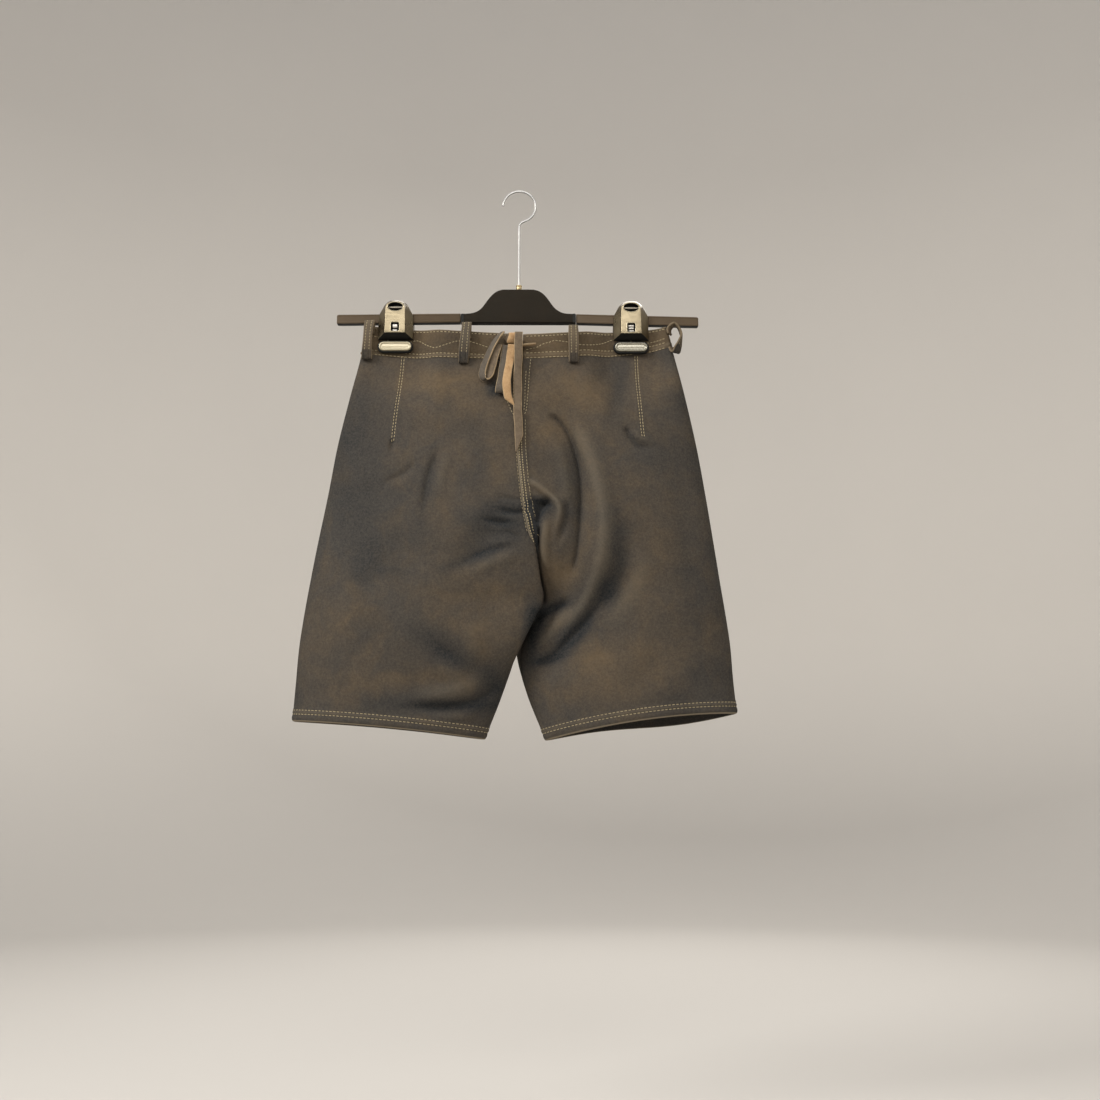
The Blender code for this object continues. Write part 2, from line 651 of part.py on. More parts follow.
def hook_line():
    """The hook's middle line, from the ferrule up the stem, round the bend and over the top."""
    top = WIRE / 2
    centre_z = top - HOOK_RADIUS
    bend_z = centre_z - math.sqrt((HOOK_RADIUS + HOOK_BEND) ** 2 - HOOK_BEND ** 2)
    line = [(0, 0, STEM_FOOT + GAP), (0, 0, (STEM_FOOT + bend_z) / 2), (0, 0, bend_z)]
    bend_end = math.atan2(bend_z - centre_z, HOOK_BEND)
    for k in range(1, 7):
        a = math.pi + bend_end * k / 6
        line.append((HOOK_BEND + HOOK_BEND * math.cos(a), 0, bend_z + HOOK_BEND * math.sin(a)))
    for k in range(1, HOOK_STEPS + 1):
        a = bend_end + math.radians(HOOK_SWEEP) * k / HOOK_STEPS
        line.append((HOOK_RADIUS * math.cos(a), 0, centre_z + HOOK_RADIUS * math.sin(a)))
    return line


def hook():
    curve = bpy.data.curves.new("hanger_hook", "CURVE")
    curve.dimensions = "3D"
    curve.bevel_depth = WIRE / 2 * MM
    curve.bevel_resolution = 3
    curve.use_fill_caps = True
    spline = curve.splines.new("POLY")
    line = hook_line()
    spline.points.add(len(line) - 1)
    for point, (x, y, z) in zip(spline.points, line):
        point.co = (x * MM, y * MM, z * MM, 1.0)
    obj = bpy.data.objects.new("hanger_hook", curve)
    curve.materials.append(material("steel"))
    bpy.context.scene.collection.objects.link(obj)


def rail(name, x_in, z_in, x_out, z_out):
    """One arm of the hanger: a rounded bar from the body out to its tip."""
    half_height, half_depth = RAIL_HEIGHT / 2, RAIL_DEPTH / 2
    points = []
    for x, z in ((x_in, z_in), (x_out, z_out)):
        for dy, dz in ((-1, -1), (1, -1), (1, 1), (-1, 1)):
            points.append((x, dy * half_depth, z + dz * half_height))
    faces = [[0, 1, 2, 3], [7, 6, 5, 4]] + [[k, (k + 1) % 4, 4 + (k + 1) % 4, 4 + k] for k in range(4)]
    bevel_all(add_object(name, mesh_of(name, points, faces), "rail_plastic"), 2.0, 3)


def hanger():
    hook()
    ferrule = box_cylinder("hanger_ferrule", FERRULE_RADIUS, FERRULE_FOOT + GAP, STEM_FOOT)
    add_object("hanger_ferrule", ferrule, "brass")
    body = add_object("hanger_body", prism("hanger_body", BODY_OUTLINE, -BODY_DEPTH / 2, BODY_DEPTH / 2),
                      "black_plastic")
    bevel_all(body, 1.5)
    for name, (x_in, z_in, x_out, z_out) in RAILS.items():
        rail(f"hanger_rail_{name}", x_in, z_in, x_out, z_out)
    for name, x in CLIPS.items():
        for face, turn in (("near", -1), ("far", 1)):
            clip_cover(f"clip_{name}_{face}_cover", x, CLIP_TOP[name], turn)
            clip_pad(f"clip_{name}_{face}_pad", x, CLIP_TOP[name], turn)


def box_cylinder(name, radius, z_low, z_high):
    mesh = bpy.data.meshes.new(name)
    work = bmesh.new()
    bmesh.ops.create_cone(work, cap_ends=True, segments=24, radius1=radius * MM, radius2=radius * MM,
                          depth=(z_high - z_low) * MM)
    bmesh.ops.translate(work, verts=work.verts, vec=(0, 0, (z_low + z_high) / 2 * MM))
    work.to_mesh(mesh)
    work.free()
    return mesh


def clip_cover(name, x, top, turn):
    """One half of a clip: a cover that slopes in from its base outline to a narrower face, with two holes."""
    points = []
    for outline, depth in ((COVER_BASE, COVER_BASE_Y), (COVER_FACE, COVER_FACE_Y)):
        full = list(outline) + [(-px, pz) for px, pz in reversed(outline)]
        points += [(x + px, turn * depth, top + pz) for px, pz in full]
    count = len(points) // 2
    faces = [list(range(count)), list(range(2 * count - 1, count - 1, -1))]
    faces += [[k, count + k, count + (k + 1) % count, (k + 1) % count] for k in range(count)]
    cover = add_object(name, mesh_of(name, points, faces), "clip_shell")
    bevel_all(cover, 0.9)
    for hole, (dz, wide, tall, segments) in COVER_HOLES.items():
        cutter = hole_cutter(f"{name}_{hole}_cutter", x, top + dz, wide, tall, segments, turn)
        cut = cover.modifiers.new(hole, "BOOLEAN")
        cut.operation = "DIFFERENCE"
        cut.object = cutter


def hole_cutter(name, x, z, wide, tall, segments, turn):
    """An upright-sided plug for a hole that opens on a cover's face."""
    outline = []
    for k in range(segments):
        a = 2 * math.pi * (k + 0.5) / segments
        corner = 1.0 if segments > 4 else math.sqrt(2)
        outline.append((x + wide / 2 * corner * math.cos(a), z + tall / 2 * corner * math.sin(a)))
    inner, outer = COVER_FACE_Y - HOLE_DEPTH, COVER_FACE_Y + 2
    low, high = sorted((turn * inner, turn * outer))
    cutter = add_object(name, prism(name, outline, low, high), "black_plastic", smooth=False)
    cutter.hide_render = True
    cutter.display_type = "WIRE"
    return cutter


def clip_pad(name, x, top, turn):
    """A jaw's rounded pad, which presses on the waistband."""
    half = PAD_HEIGHT / 2
    reach = PAD_WIDTH / 2 - half
    z = top + PAD_Z
    outline = []
    for centre, start in ((reach, -90), (-reach, 90)):
        for k in range(9):
            a = math.radians(start + 180 * k / 8)
            outline.append((x + centre + half * math.cos(a), z + half * math.sin(a)))
    low, high = sorted((turn * PAD_INNER_Y, turn * PAD_OUTER_Y))
    bevel_all(add_object(name, prism(name, outline, low, high), "pad"), 2.0, 3)


def main():
    clear_scene()
    panels()
    waistbands()
    belt_loops()
    laces()
    front_closure()
    hanger()


main()
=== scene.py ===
"""Short leather lederhosen on a clip hanger: the visual model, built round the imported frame.

Lengths in the tables are millimetres; meshes are made in metres. +X is the viewer's right, +Y points from
the seat to the garment's front, +Z is up, and the origin is where a rail bears in the hook.
"""

import math

import bmesh
import bpy
import numpy as np
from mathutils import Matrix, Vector
from mathutils.bvhtree import BVHTree


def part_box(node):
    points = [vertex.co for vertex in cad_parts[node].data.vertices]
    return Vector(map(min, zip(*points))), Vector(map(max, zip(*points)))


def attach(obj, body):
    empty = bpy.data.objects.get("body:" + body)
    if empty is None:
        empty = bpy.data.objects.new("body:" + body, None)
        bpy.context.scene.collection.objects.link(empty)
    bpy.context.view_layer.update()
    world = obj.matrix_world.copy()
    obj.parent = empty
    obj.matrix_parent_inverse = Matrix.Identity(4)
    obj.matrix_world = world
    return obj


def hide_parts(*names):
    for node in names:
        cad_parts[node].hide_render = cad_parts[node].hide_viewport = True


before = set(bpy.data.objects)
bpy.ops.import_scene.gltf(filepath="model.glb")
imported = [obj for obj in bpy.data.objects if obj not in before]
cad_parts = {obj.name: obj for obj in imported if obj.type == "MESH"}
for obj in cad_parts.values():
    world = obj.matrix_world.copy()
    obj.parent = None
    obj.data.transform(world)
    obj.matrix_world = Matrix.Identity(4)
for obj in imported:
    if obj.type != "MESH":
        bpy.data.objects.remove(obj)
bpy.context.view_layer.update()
MM = 0.001
# The camera: its frame and focal length in pixels, and how far it looks up.
IMAGE_SIDE = 1100.0
FOCAL = 1355.0
PITCH = math.radians(10.0)

# ---- the camera, from below and in front of the seat ----
camera_data = bpy.data.cameras.new("camera")
camera_data.sensor_width = 36.0
camera_data.lens = camera_data.sensor_width * FOCAL / IMAGE_SIDE
camera = bpy.data.objects.new("camera", camera_data)
camera.location = (0.034428, -1.433, -0.661217)
camera.rotation_euler = (math.radians(90.0) + PITCH, 0.0, 0.0)
bpy.context.scene.collection.objects.link(camera)
bpy.context.scene.camera = camera


# ---- short calls for materials ----
class Nodes:
    """Short calls for one material's node tree."""

    def __init__(self, name):
        self.material = bpy.data.materials.new(name)
        self.material.use_nodes = True
        self.tree = self.material.node_tree
        self.shader = self.tree.nodes["Principled BSDF"]
        self.place = self.tree.nodes.new("ShaderNodeTexCoord").outputs["Object"]

    def link(self, source, target):
        if isinstance(source, (int, float)):
            target.default_value = source
        elif isinstance(source, tuple):
            target.default_value = (*source, 1.0)
        else:
            self.tree.links.new(source, target)

    def add(self, kind, **sources):
        """A new node, with each named input given a number, a colour or another node's output."""
        node = self.tree.nodes.new(kind)
        for name, source in sources.items():
            self.link(source, node.inputs[name])
        return node

    def set(self, **values):
        names = {"color": "Base Color", "rough": "Roughness", "metal": "Metallic", "coat": "Coat Weight",
                 "coat_rough": "Coat Roughness", "sheen": "Sheen Weight", "sheen_rough": "Sheen Roughness",
                 "sheen_tint": "Sheen Tint", "specular": "Specular IOR Level", "normal": "Normal"}
        for name, value in values.items():
            self.link(value, self.shader.inputs[names[name]])
        return self.material

    def stretch(self, x, y, z):
        node = self.add("ShaderNodeMapping", Vector=self.place)
        node.inputs["Scale"].default_value = (x, y, z)
        return node.outputs["Vector"]

    def noise(self, scale, detail=3.0, rough=0.55, where=None, distortion=0.0):
        place = self.place if where is None else where
        node = self.add("ShaderNodeTexNoise", Vector=place, Scale=scale, Detail=detail, Roughness=rough,
                        Distortion=distortion)
        return node.outputs["Fac"]

    def attribute(self, name):
        node = self.add("ShaderNodeAttribute")
        node.attribute_name = name
        return node.outputs["Fac"]

    def ramp(self, value, low, high, to_low=0.0, to_high=1.0):
        node = self.add("ShaderNodeMapRange")
        for index, source in enumerate((value, low, high, to_low, to_high)):
            self.link(source, node.inputs[index])
        return node.outputs[0]

    def math(self, kind, a, b=0.0):
        node = self.add("ShaderNodeMath")
        node.operation = kind
        self.link(a, node.inputs[0])
        self.link(b, node.inputs[1])
        return node.outputs[0]

    def mix(self, amount, a, b, blend="MIX"):
        node = self.add("ShaderNodeMix")
        node.data_type = "RGBA"
        node.blend_type = blend
        self.link(amount, node.inputs[0])
        self.link(a, node.inputs[6])
        self.link(b, node.inputs[7])
        return node.outputs[2]

    def bump(self, *layers):
        """Bumps from (height, distance in mm) pairs, one on the other."""
        last = None
        for height, distance in layers:
            node = self.add("ShaderNodeBump", Height=height, Distance=distance * MM)
            if last is not None:
                self.link(last, node.inputs["Normal"])
            last = node.outputs["Normal"]
        return last


# ---- a plain pale floor that curves up into a wall all round, and soft studio light ----
FLOOR_Z = -1.02
FLOOR_RINGS = (0.8, 1.6)
BEND_STEPS = 16
TURNS = 96
FLOOR_RADIUS = 2.3
WALL_BEND = 0.9
WALL_TOP = 3.4
FLOOR_TONE = (0.45, 0.43, 0.405, 1)
WALL_TONES = ((0.645, 0.618, 0.582, 1), (0.685, 0.656, 0.616, 1))
SKY = (0.9, 0.93, 1.0, 1)
SKY_STRENGTH = 0.35
LIGHTS = {
    # place, target, size, power, colour
    "key": ((-1.75, -1.25, 0.95), (0, 0, -0.38), (0.9, 0.9), 54, (1.0, 0.98, 0.94)),
    "front": ((-0.2, -2.2, 0.9), (0, 0, -0.35), (1.6, 0.9), 24, (1.0, 0.98, 0.95)),
    "fill": ((1.7, -1.3, 0.3), (0, 0, -0.4), (0.9, 1.3), 9, (1.0, 0.96, 0.90)),
    "top": ((0.0, 0.3, 1.9), (0, 0, -0.3), (2.2, 1.6), 32, (1.0, 0.98, 0.94)),
    "rear": ((0.4, 2.1, 0.7), (0, 0, -0.35), (1.6, 1.2), 32, (1.0, 0.97, 0.92)),
}


def circle(count):
    """The cosines and sines of a whole turn in even steps."""
    a = 2 * math.pi * np.arange(count) / count
    return np.cos(a), np.sin(a)


def stage_floor():
    profile = [(radius, FLOOR_Z) for radius in (*FLOOR_RINGS, FLOOR_RADIUS)]
    for a in np.radians(90 * np.arange(1, BEND_STEPS + 1) / BEND_STEPS):
        profile.append((FLOOR_RADIUS + WALL_BEND * math.sin(a), FLOOR_Z + WALL_BEND * (1 - math.cos(a))))
    profile.append((FLOOR_RADIUS + WALL_BEND, WALL_TOP))
    c, s = circle(TURNS)
    points = [(0.0, 0.0, FLOOR_Z)]
    for radius, z in profile:
        points += [(radius * c[k], radius * s[k], z) for k in range(TURNS)]
    faces = []
    for i in range(len(profile) - 1):
        low, high = 1 + i * TURNS, 1 + (i + 1) * TURNS
        faces += [(low + k, high + k, high + (k + 1) % TURNS, low + (k + 1) % TURNS) for k in range(TURNS)]
    faces += [(0, 1 + k, 1 + (k + 1) % TURNS) for k in range(TURNS)]
    mesh = bpy.data.meshes.new("studio")
    mesh.from_pydata(points, [], faces)
    mesh.shade_smooth()
    obj = bpy.data.objects.new("studio", mesh)
    bpy.context.scene.collection.objects.link(obj)
    obj.data.materials.append(studio_material())


def studio_material():
    """A matt paint in two near tones, darker over the floor."""
    n = Nodes("studio_paint")
    n.shader.inputs["Roughness"].default_value = 0.95
    noise = n.add("ShaderNodeTexNoise", Vector=n.place)
    noise.inputs["Scale"].default_value = 1.2
    apart = n.add("ShaderNodeSeparateXYZ", Vector=n.place)
    rise = n.add("ShaderNodeMapRange", Value=apart.outputs["Z"])
    rise.interpolation_type = "SMOOTHSTEP"
    rise.inputs["From Min"].default_value = FLOOR_Z - 0.05
    rise.inputs["From Max"].default_value = FLOOR_Z + WALL_BEND
    tone = n.mix(noise.outputs["Fac"], *(tone[:3] for tone in WALL_TONES))
    return n.set(color=n.mix(rise.outputs["Result"], FLOOR_TONE[:3], tone))


def area_light(name, place, target, size, power, color):
    data = bpy.data.lights.new(name, "AREA")
    data.shape = "RECTANGLE"
    data.size, data.size_y = size
    data.energy = power
    data.color = color
    light = bpy.data.objects.new(name, data)
    light.location = place
    light.rotation_euler = (Vector(target) - Vector(place)).to_track_quat("-Z", "Y").to_euler()
    bpy.context.scene.collection.objects.link(light)


stage_floor()
for light_name, light_row in LIGHTS.items():
    area_light(light_name, *light_row)
world = bpy.data.worlds.new("studio_world")
world.use_nodes = True
world.node_tree.nodes["Background"].inputs["Color"].default_value = SKY
world.node_tree.nodes["Background"].inputs["Strength"].default_value = SKY_STRENGTH
bpy.context.scene.world = world
bpy.context.scene.view_settings.view_transform = "Standard"

# ---- sizes and tables of the garment, as its solids have them (the two front loops stand within 1 mm) ----
LEATHER = 2.0
BAND_LEATHER = 2.2
SLIT_DEPTH = 62.0
SLIT_GAP = 1.4
ROLL_REACH = 0.42
TUCK_SOFTNESS = 8.0
SIDE_SWING = 6
LEG_CLEARANCE = 1.8
CROTCH_EASE = 1.8
HALF_GAP = 0.15

COLUMNS = (
    "z_side", "x_side", "z_in", "x_in", "y_in", "y_side", "leg",
    "depth_back", "depth_front", "bow_back", "bow_front", "sway_front", "roll", "tuck",
)
SECTIONS = {
    "left": (
        # z_side x_side z_in  x_in y_in y_side leg  back front bow_b bow_f sway roll tuck
        (-157.5, -169, -171.2, 4.5, 0, 0, 0.0, 13, 11, -1, -1, 0, 0, 0),
        (-188, -172.4, -199.2, 4.5, 0, 0, 0.0, 15, 12, -2.4, -2.4, 0, 0, 0),
        (-239, -184, -245, 5, 0, 1, 0.0, 24, 20, 0, 0, 0, 0, 0),
        (-294, -196, -300, 5, 0, 2, 0.0, 32, 27, 0, 0, 0, 0, 0),
        (-349, -205, -354, 10, 0, 3, 0.0, 37, 31, 0, 0, 0, 0, 0),
        (-404, -215, -404, 17, 2, 4, 0.15, 40, 33, 0, 0, 0, 14, 0),
        (-446, -222, -444, 13, 1, 5, 0.6, 42, 33, 0, 0, 0, 29, 0),
        (-480, -227, -468, 5, 0, 5, 1.0, 42, 31, 0, 0, 0, 40, 0),
        (-514, -231, -512, 1.5, -8, 4, 1.0, 40, 31, 0, 0, 0, 21, 0),
        (-553, -233, -560, -13.5, -5, 2, 1.0, 36, 31, 0, 0, 0, 3, 0),
        (-591, -235, -610, -33, -2, 0, 1.0, 31, 31, 2, 3, 0, 0, 0),
    ),
    "right": (
        (-161, 161.5, -171.2, 4.5, 0, -14, 0.0, 13, 10, -0.6, -0.6, 0, 0, 0),
        (-184.5, 167, -199.2, 4.5, 0, -12, 0.0, 15, 12, -2.6, -2.6, 0, 0, 0),
        (-236, 180.3, -245, 5, 0, -4, 0.0, 24, 20, -3, -3, 0, 0, 0),
        (-294, 193, -300, 5, 0, 2, 0.0, 32, 27, 0, 0, 0, 0, 0),
        (-349, 202, -354, 10, 0, 3, 0.0, 37, 31, 0, 0, 0, 0, 0),
        (-404, 210, -404, 17, 2, 4, 0.15, 40, 33, 0, 0, 0, 0, 0.03),
        (-446, 216, -444, 13, 1, 5, 0.6, 40, 33, 0, 0, 0, 0, 0.09),
        (-480, 221, -468, 5, 0, 5, 1.0, 39, 34, 0, 0, 0, 0, 0.1),
        (-512, 225, -512, -3, 13, 4, 1.0, 38, 34, 0, 0, 0, 0, 0.03),
        (-548, 227, -560, 8.5, 7, 2, 1.0, 35, 33, 2, 0, 0, 0, 0),
        (-583, 230, -611, 29, 2, 0, 1.0, 31, 32, 6, 0.2, 2.4, 0, 0),
    ),
}
BAND_TOP_ROW = 0
BAND_SEAM_ROW = 1
CROTCH_ROW = 7
HEM_ROW = 10

BACK_FOLDS = (
    # start       middle      end     width height
    ((36, -262), (66, -345), (52, -452), 13, -9),
    ((62, -300), (86, -400), (56, -498), 20, 7),
    ((118, -430), (110, -465), (84, -500), 26, -6),
    ((-66, -432), (-38, -408), (-6, -378), 16, -6),
    ((-112, -440), (-84, -470), (-60, -520), 24, 5),
)
FRONT_FOLDS = (
    ((-30, -290), (-70, -360), (-62, -470), 18, -7),
    ((40, -300), (72, -380), (66, -480), 20, -7),
)

LOOP_WIDTH = 11.4
LOOP_LEATHER = 2.4
LEAN_OUT = 3.0
LOOPS = {
    # side, face, top_share, foot_share, bulge, rise, turn, twist
    "side_left": ("left", "back", 0.968, 0.962, 7.2, 3.6, 5, 0),
    "back_left": ("left", "back", 0.352, 0.359, 8.0, 7.0, 2, 0),
    "back_right": ("right", "back", 0.351, 0.341, 8.0, 4.5, 2, 0),
    "side_right": ("right", "back", 1.0, 0.995, 12.2, 2.0, 84, 44),
    "front_left": ("left", "front", 0.36, 0.36, 7.6, 5.0, 2, 0),
    "front_right": ("right", "front", 0.36, 0.36, 7.6, 5.0, 2, 0),
}
LOOP_LINE = (
    # out, from, up, twist
    (0.0, "top", -9.0, 0.5), (0.0, "top", -5.0, 0.5), (0.14, "top", -1.9, 0.45), (0.4, "rise", 0.35, 0.35),
    (0.68, "rise", 1.0, 0.2), (0.93, "top", -2.0, 0.05), (1.0, "top", -11.0, 0.0), (0.76, "seam", 3.0, 0.45),
    (0.46, "seam", -4.5, 0.9), (0.2, "seam", -7.6, 1.0), (0.02, "seam", -6.0, 1.0), (0.0, "seam", -1.5, 1.0),
)

LACE_WIDTH = 9.0
LACE_LEATHER = 1.8
LACES = {
    # x, y, z, turn
    "loop_near": (
        (-17, -23, -172, 55), (-23, -25, -180, 45), (-30, -26, -193, 40), (-36, -27, -209, 35),
        (-38.5, -28, -221, 32), (-35, -28.5, -226, 30), (-30.5, -28, -221, 25), (-27.5, -27, -209, 15),
        (-24.5, -25.5, -196, 8), (-22, -24, -186, 5),
    ),
    "loop_far": (
        (-13, -23.2, -187, 0), (-14.5, -23.4, -200, 0), (-16.7, -26.3, -216, 0), (-19, -29.8, -233, 0),
        (-19.8, -30.8, -239, 0), (-19.8, -28.6, -241.5, 0), (-19.2, -26.4, -235, 0), (-16.8, -22.4, -217, 0),
        (-15, -19.5, -203, 0),
    ),
    "tail_short": (
        (-6.6, -25.8, -187, 8), (-8.2, -26.0, -200, 5), (-10.1, -28.4, -213, 0), (-12, -31.5, -227, 0),
        (-11.7, -33.4, -241, -5), (-9.6, -33.4, -251, -8), (-7.4, -33, -259, -10),
    ),
    "tail_long": (
        (0.6, -29.5, -174, 0), (0.5, -30, -182, 0), (0.3, -29.5, -195, 0), (0.1, -28.5, -210, 0),
        (-0.2, -28.8, -228, 0), (-0.4, -31, -249, 0), (0.6, -35.4, -276, 0), (2.4, -39, -309, 0),
    ),
}
CROSS_LACE = ((-1.5, -20.2, -186.5, 60), (8, -20.5, -185.5, 62), (19, -20, -184.0, 64))
CROSS_WIDTH = 5.0
KNOT_CENTRE = (-9.0, -22.5, -178.5)
KNOT_SIZE = (14.0, 7.0, 13.0)
PLACKET_ROWS = (1.12, 4.3)
PLACKET_SHARES = (0.03, 0.17)
TAB_SHARES = {"left": (0.155, 0.012), "right": (0.012, 0.13)}
TAB_ROWS = (0.12, 0.88)
BUTTON_RADIUS = 8.5

STEM_FOOT = -110.2
FERRULE_RADIUS = 3.4
FERRULE_FOOT = -115.9
BODY_DEPTH = 10.0
BODY_OUTLINE = (
    (-64, -154.7), (63, -154.7), (63, -144.4), (55, -144.2), (48.8, -143.3), (43.5, -140.7), (38.5, -136.3),
    (32.8, -128.2), (28.2, -122.4), (23.2, -118.5), (17.8, -116.6), (13.4, -116.1), (-15.4, -116.1),
    (-20.0, -116.7), (-25.2, -118.8), (-30.0, -122.8), (-34.5, -128.4), (-40.5, -136.8), (-45.0, -140.8),
    (-50.6, -143.2), (-58.0, -144.1), (-64, -144.2),
)
RAIL_HEIGHT = 10.8
RAIL_DEPTH = 9.0
RAILS = {"left": (-64.3, -149.0, -201, -150.5), "right": (63.3, -149.8, 198.2, -153.3)}
CLIPS = {"left": -135.4, "right": 123.5}
CLIP_TOP = {"left": -127.0, "right": -128.0}
# Half outlines of a clip cover, from the top down its right side, from the clip's middle and top.
COVER_BASE = (
    (3.4, -2.3), (6.8, -2.9), (9.6, -4.4), (12.8, -7.8), (15.6, -13.0), (18.3, -18.2), (19.3, -22.8),
    (19.5, -32.1), (19.4, -43.6), (19.7, -48.0),
)
COVER_FACE = (
    (3.4, -6.9), (6.2, -7.6), (8.8, -9.4), (10.4, -12.3), (10.7, -15.7), (10.8, -19.2), (10.9, -24.0),
    (11.0, -30.4), (11.1, -38.0), (11.3, -42.7),
)
# A cover's holes: place from its top, width and height, how square (2 is an ellipse), the points round it,
# how much narrower its floor and wider its mouth are, and the radius of its rim.
COVER_HOLES = {
    "eye": (-12.7, 16.8, 9.8, 2.0, 40, (-1.0, 1.0), 0.55),
    "window": (-35.8, 9.0, 10.2, 7.0, 32, (-0.6, 0.4), 0.5),
}
# The left clip's lip takes the lit copy of the lip's finish, the right's the shaded copy: painted light and
# shade.
LIP_LOOK = {"left": "lit_lip", "right": "shaded_lip"}
PAD_WIDTH = 39.6
PAD_HEIGHT = 14.0
PAD_Z = -56.4
PINCH_FLAT = 20.5
PINCH_REACH = 52.0
PINCH_Y = 1.6
PINCH_END = -262.0

# ---- the finer creases ----
# Each is a line of places, the widths of its flanks left and right of the way it runs, its height towards the
# viewer (a trough is negative) and the share of its length over which each end fades. The seat's lines are
# placed across and down in the camera's 1100 pixels, the hidden front's in x and z.
SEAT_CREASES = {
    "left": (
        (((392, 438), (391.8, 446), (390.5, 455)), 3.0, 3.0, -3.2, (0.2, 0.6)),
        (((420, 458), (406, 471), (389, 480), (375, 491)), 4.5, 3.5, -2.3, (0.3, 0.5)),
        (((442, 442), (431, 468), (425.5, 492), (422.5, 520)), 5.5, 4.0, -2.9, (0.3, 0.35)),
        (((453, 443), (442, 472), (437, 505)), 7.0, 6.0, 1.9, (0.4, 0.4)),
        (((527, 500), (508, 498.5), (490, 495)), 2.4, 2.8, -1.6, (0.05, 0.5)),
        (((529, 511), (513, 512.5), (493, 507)), 3.0, 3.8, -3.6, (0.02, 0.5)),
        (((521, 517.5), (504, 517), (489, 513)), 2.6, 2.4, 1.3, (0.2, 0.4)),
        (((514, 523), (495, 521), (474, 516)), 3.6, 2.6, -2.6, (0.25, 0.5)),
        (((512, 529), (497, 528), (484, 523.5)), 3.0, 3.0, 1.2, (0.3, 0.4)),
        (((521, 539), (511, 533), (499, 529)), 3.2, 3.0, -2.2, (0.2, 0.4)),
        (((514, 542.5), (500, 541.5), (486, 545)), 3.6, 3.4, 1.3, (0.3, 0.4)),
        (((523, 546.5), (500, 548.5), (481, 553), (464, 562), (446, 577)), 5.4, 4.4, -2.3, (0.3, 0.5)),
        (((520, 555), (502, 558), (481, 567), (462, 581)), 7.0, 6.5, 2.0, (0.2, 0.4)),
        (((408, 618), (428, 640), (448, 655), (472, 666)), 8.0, 9.0, -2.6, (0.5, 0.4)),
        (((430, 660), (450, 672), (470, 678)), 8.0, 8.0, 1.8, (0.4, 0.4)),
        (((395, 705), (425, 707), (452, 705.5), (474, 700), (492, 690), (506, 673)),
         3.8, 5.6, -4.8, (0.4, 0.3)),
        (((400, 694), (440, 694), (470, 686), (492, 670)), 9.0, 7.5, 3.2, (0.4, 0.4)),
        (((430, 716), (460, 717), (482, 712)), 4.0, 4.0, 1.6, (0.4, 0.4)),
        (((350, 405), (341, 470), (337, 540)), 12.0, 14.0, -1.4, (0.4, 0.4)),
        (((372, 545), (362, 600), (368, 655)), 16.0, 16.0, -2.0, (0.4, 0.4)),
        (((480, 610), (470, 640), (478, 668)), 12.0, 12.0, 1.6, (0.4, 0.4)),
    ),
    "right": (
        (((525, 478), (533, 483), (540, 487.5), (549, 494.5), (556.5, 501), (559.7, 509),
          (558.8, 518), (556.6, 528), (555, 541)),
         2.6, 3.0, 4.4, (0.15, 0.45)),
        (((553, 502), (545, 504), (538.5, 511), (534.5, 524)), 4.0, 4.6, -7.0, (0.12, 0.1)),
        (((526, 503), (536, 502.5), (548, 502)), 3.4, 4.2, -4.6, (0.05, 0.2)),
        (((546.5, 514), (545, 532), (544.5, 556), (549, 577)), 4.6, 3.6, 3.4, (0.25, 0.3)),
        (((566, 496), (567, 512), (562, 530), (557, 550)), 3.6, 3.2, -3.2, (0.2, 0.4)),
        (((547, 413.5), (559, 419.5), (569, 433), (575.5, 450), (580, 470), (581.5, 490), (581, 515),
          (579.5, 537), (576.5, 560), (570, 583)),
         2.2, 4.2, -4.6, (0.06, 0.14)),
        (((566, 420), (579, 437), (589.5, 460), (598, 487), (603, 512), (604, 537), (599, 565),
          (587, 597), (567, 629), (549, 653)),
         11.0, 6.4, 3.7, (0.12, 0.25)),
        (((550, 432), (561, 455), (566.5, 480), (568, 505), (564, 530)), 8.0, 8.0, 2.4, (0.3, 0.35)),
        (((611, 520), (622.5, 545), (620, 568), (606, 592), (590, 614.5), (571, 637.5), (551, 656),
          (532, 664.5)),
         13.0, 8.5, -4.4, (0.35, 0.12)),
        (((606, 590), (590, 613), (572, 636), (552, 656.5), (533, 665)), 4.2, 3.6, -3.2, (0.3, 0.08)),
        (((573, 599), (560, 605), (547, 611), (534, 620)), 4.6, 5.0, -5.4, (0.25, 0.1)),
        (((582, 604), (562, 619), (549, 633), (537, 654)), 6.0, 6.0, 3.0, (0.3, 0.3)),
        (((625, 424), (631, 437), (642, 446.5), (659, 448)), 3.4, 4.0, -3.8, (0.15, 0.5)),
        (((633, 429), (642, 438.5), (656, 440.5)), 2.8, 3.2, 1.9, (0.3, 0.5)),
        (((622, 367), (614, 400), (610, 430)), 10.0, 8.0, -2.2, (0.3, 0.4)),
        (((650, 540), (638, 575), (616, 610), (590, 640)), 15.0, 13.0, 3.2, (0.4, 0.4)),
        (((672, 440), (684, 520), (690, 600)), 14.0, 14.0, -1.6, (0.4, 0.4)),
        (((668, 640), (645, 672), (612, 694)), 14.0, 14.0, -2.0, (0.4, 0.4)),
        (((539.5, 523), (538.2, 546), (538, 564), (541.5, 580), (544.5, 595), (544, 606)),
         1.9, 3.4, -9.0, (0.12, 0.1)),
    ),
}
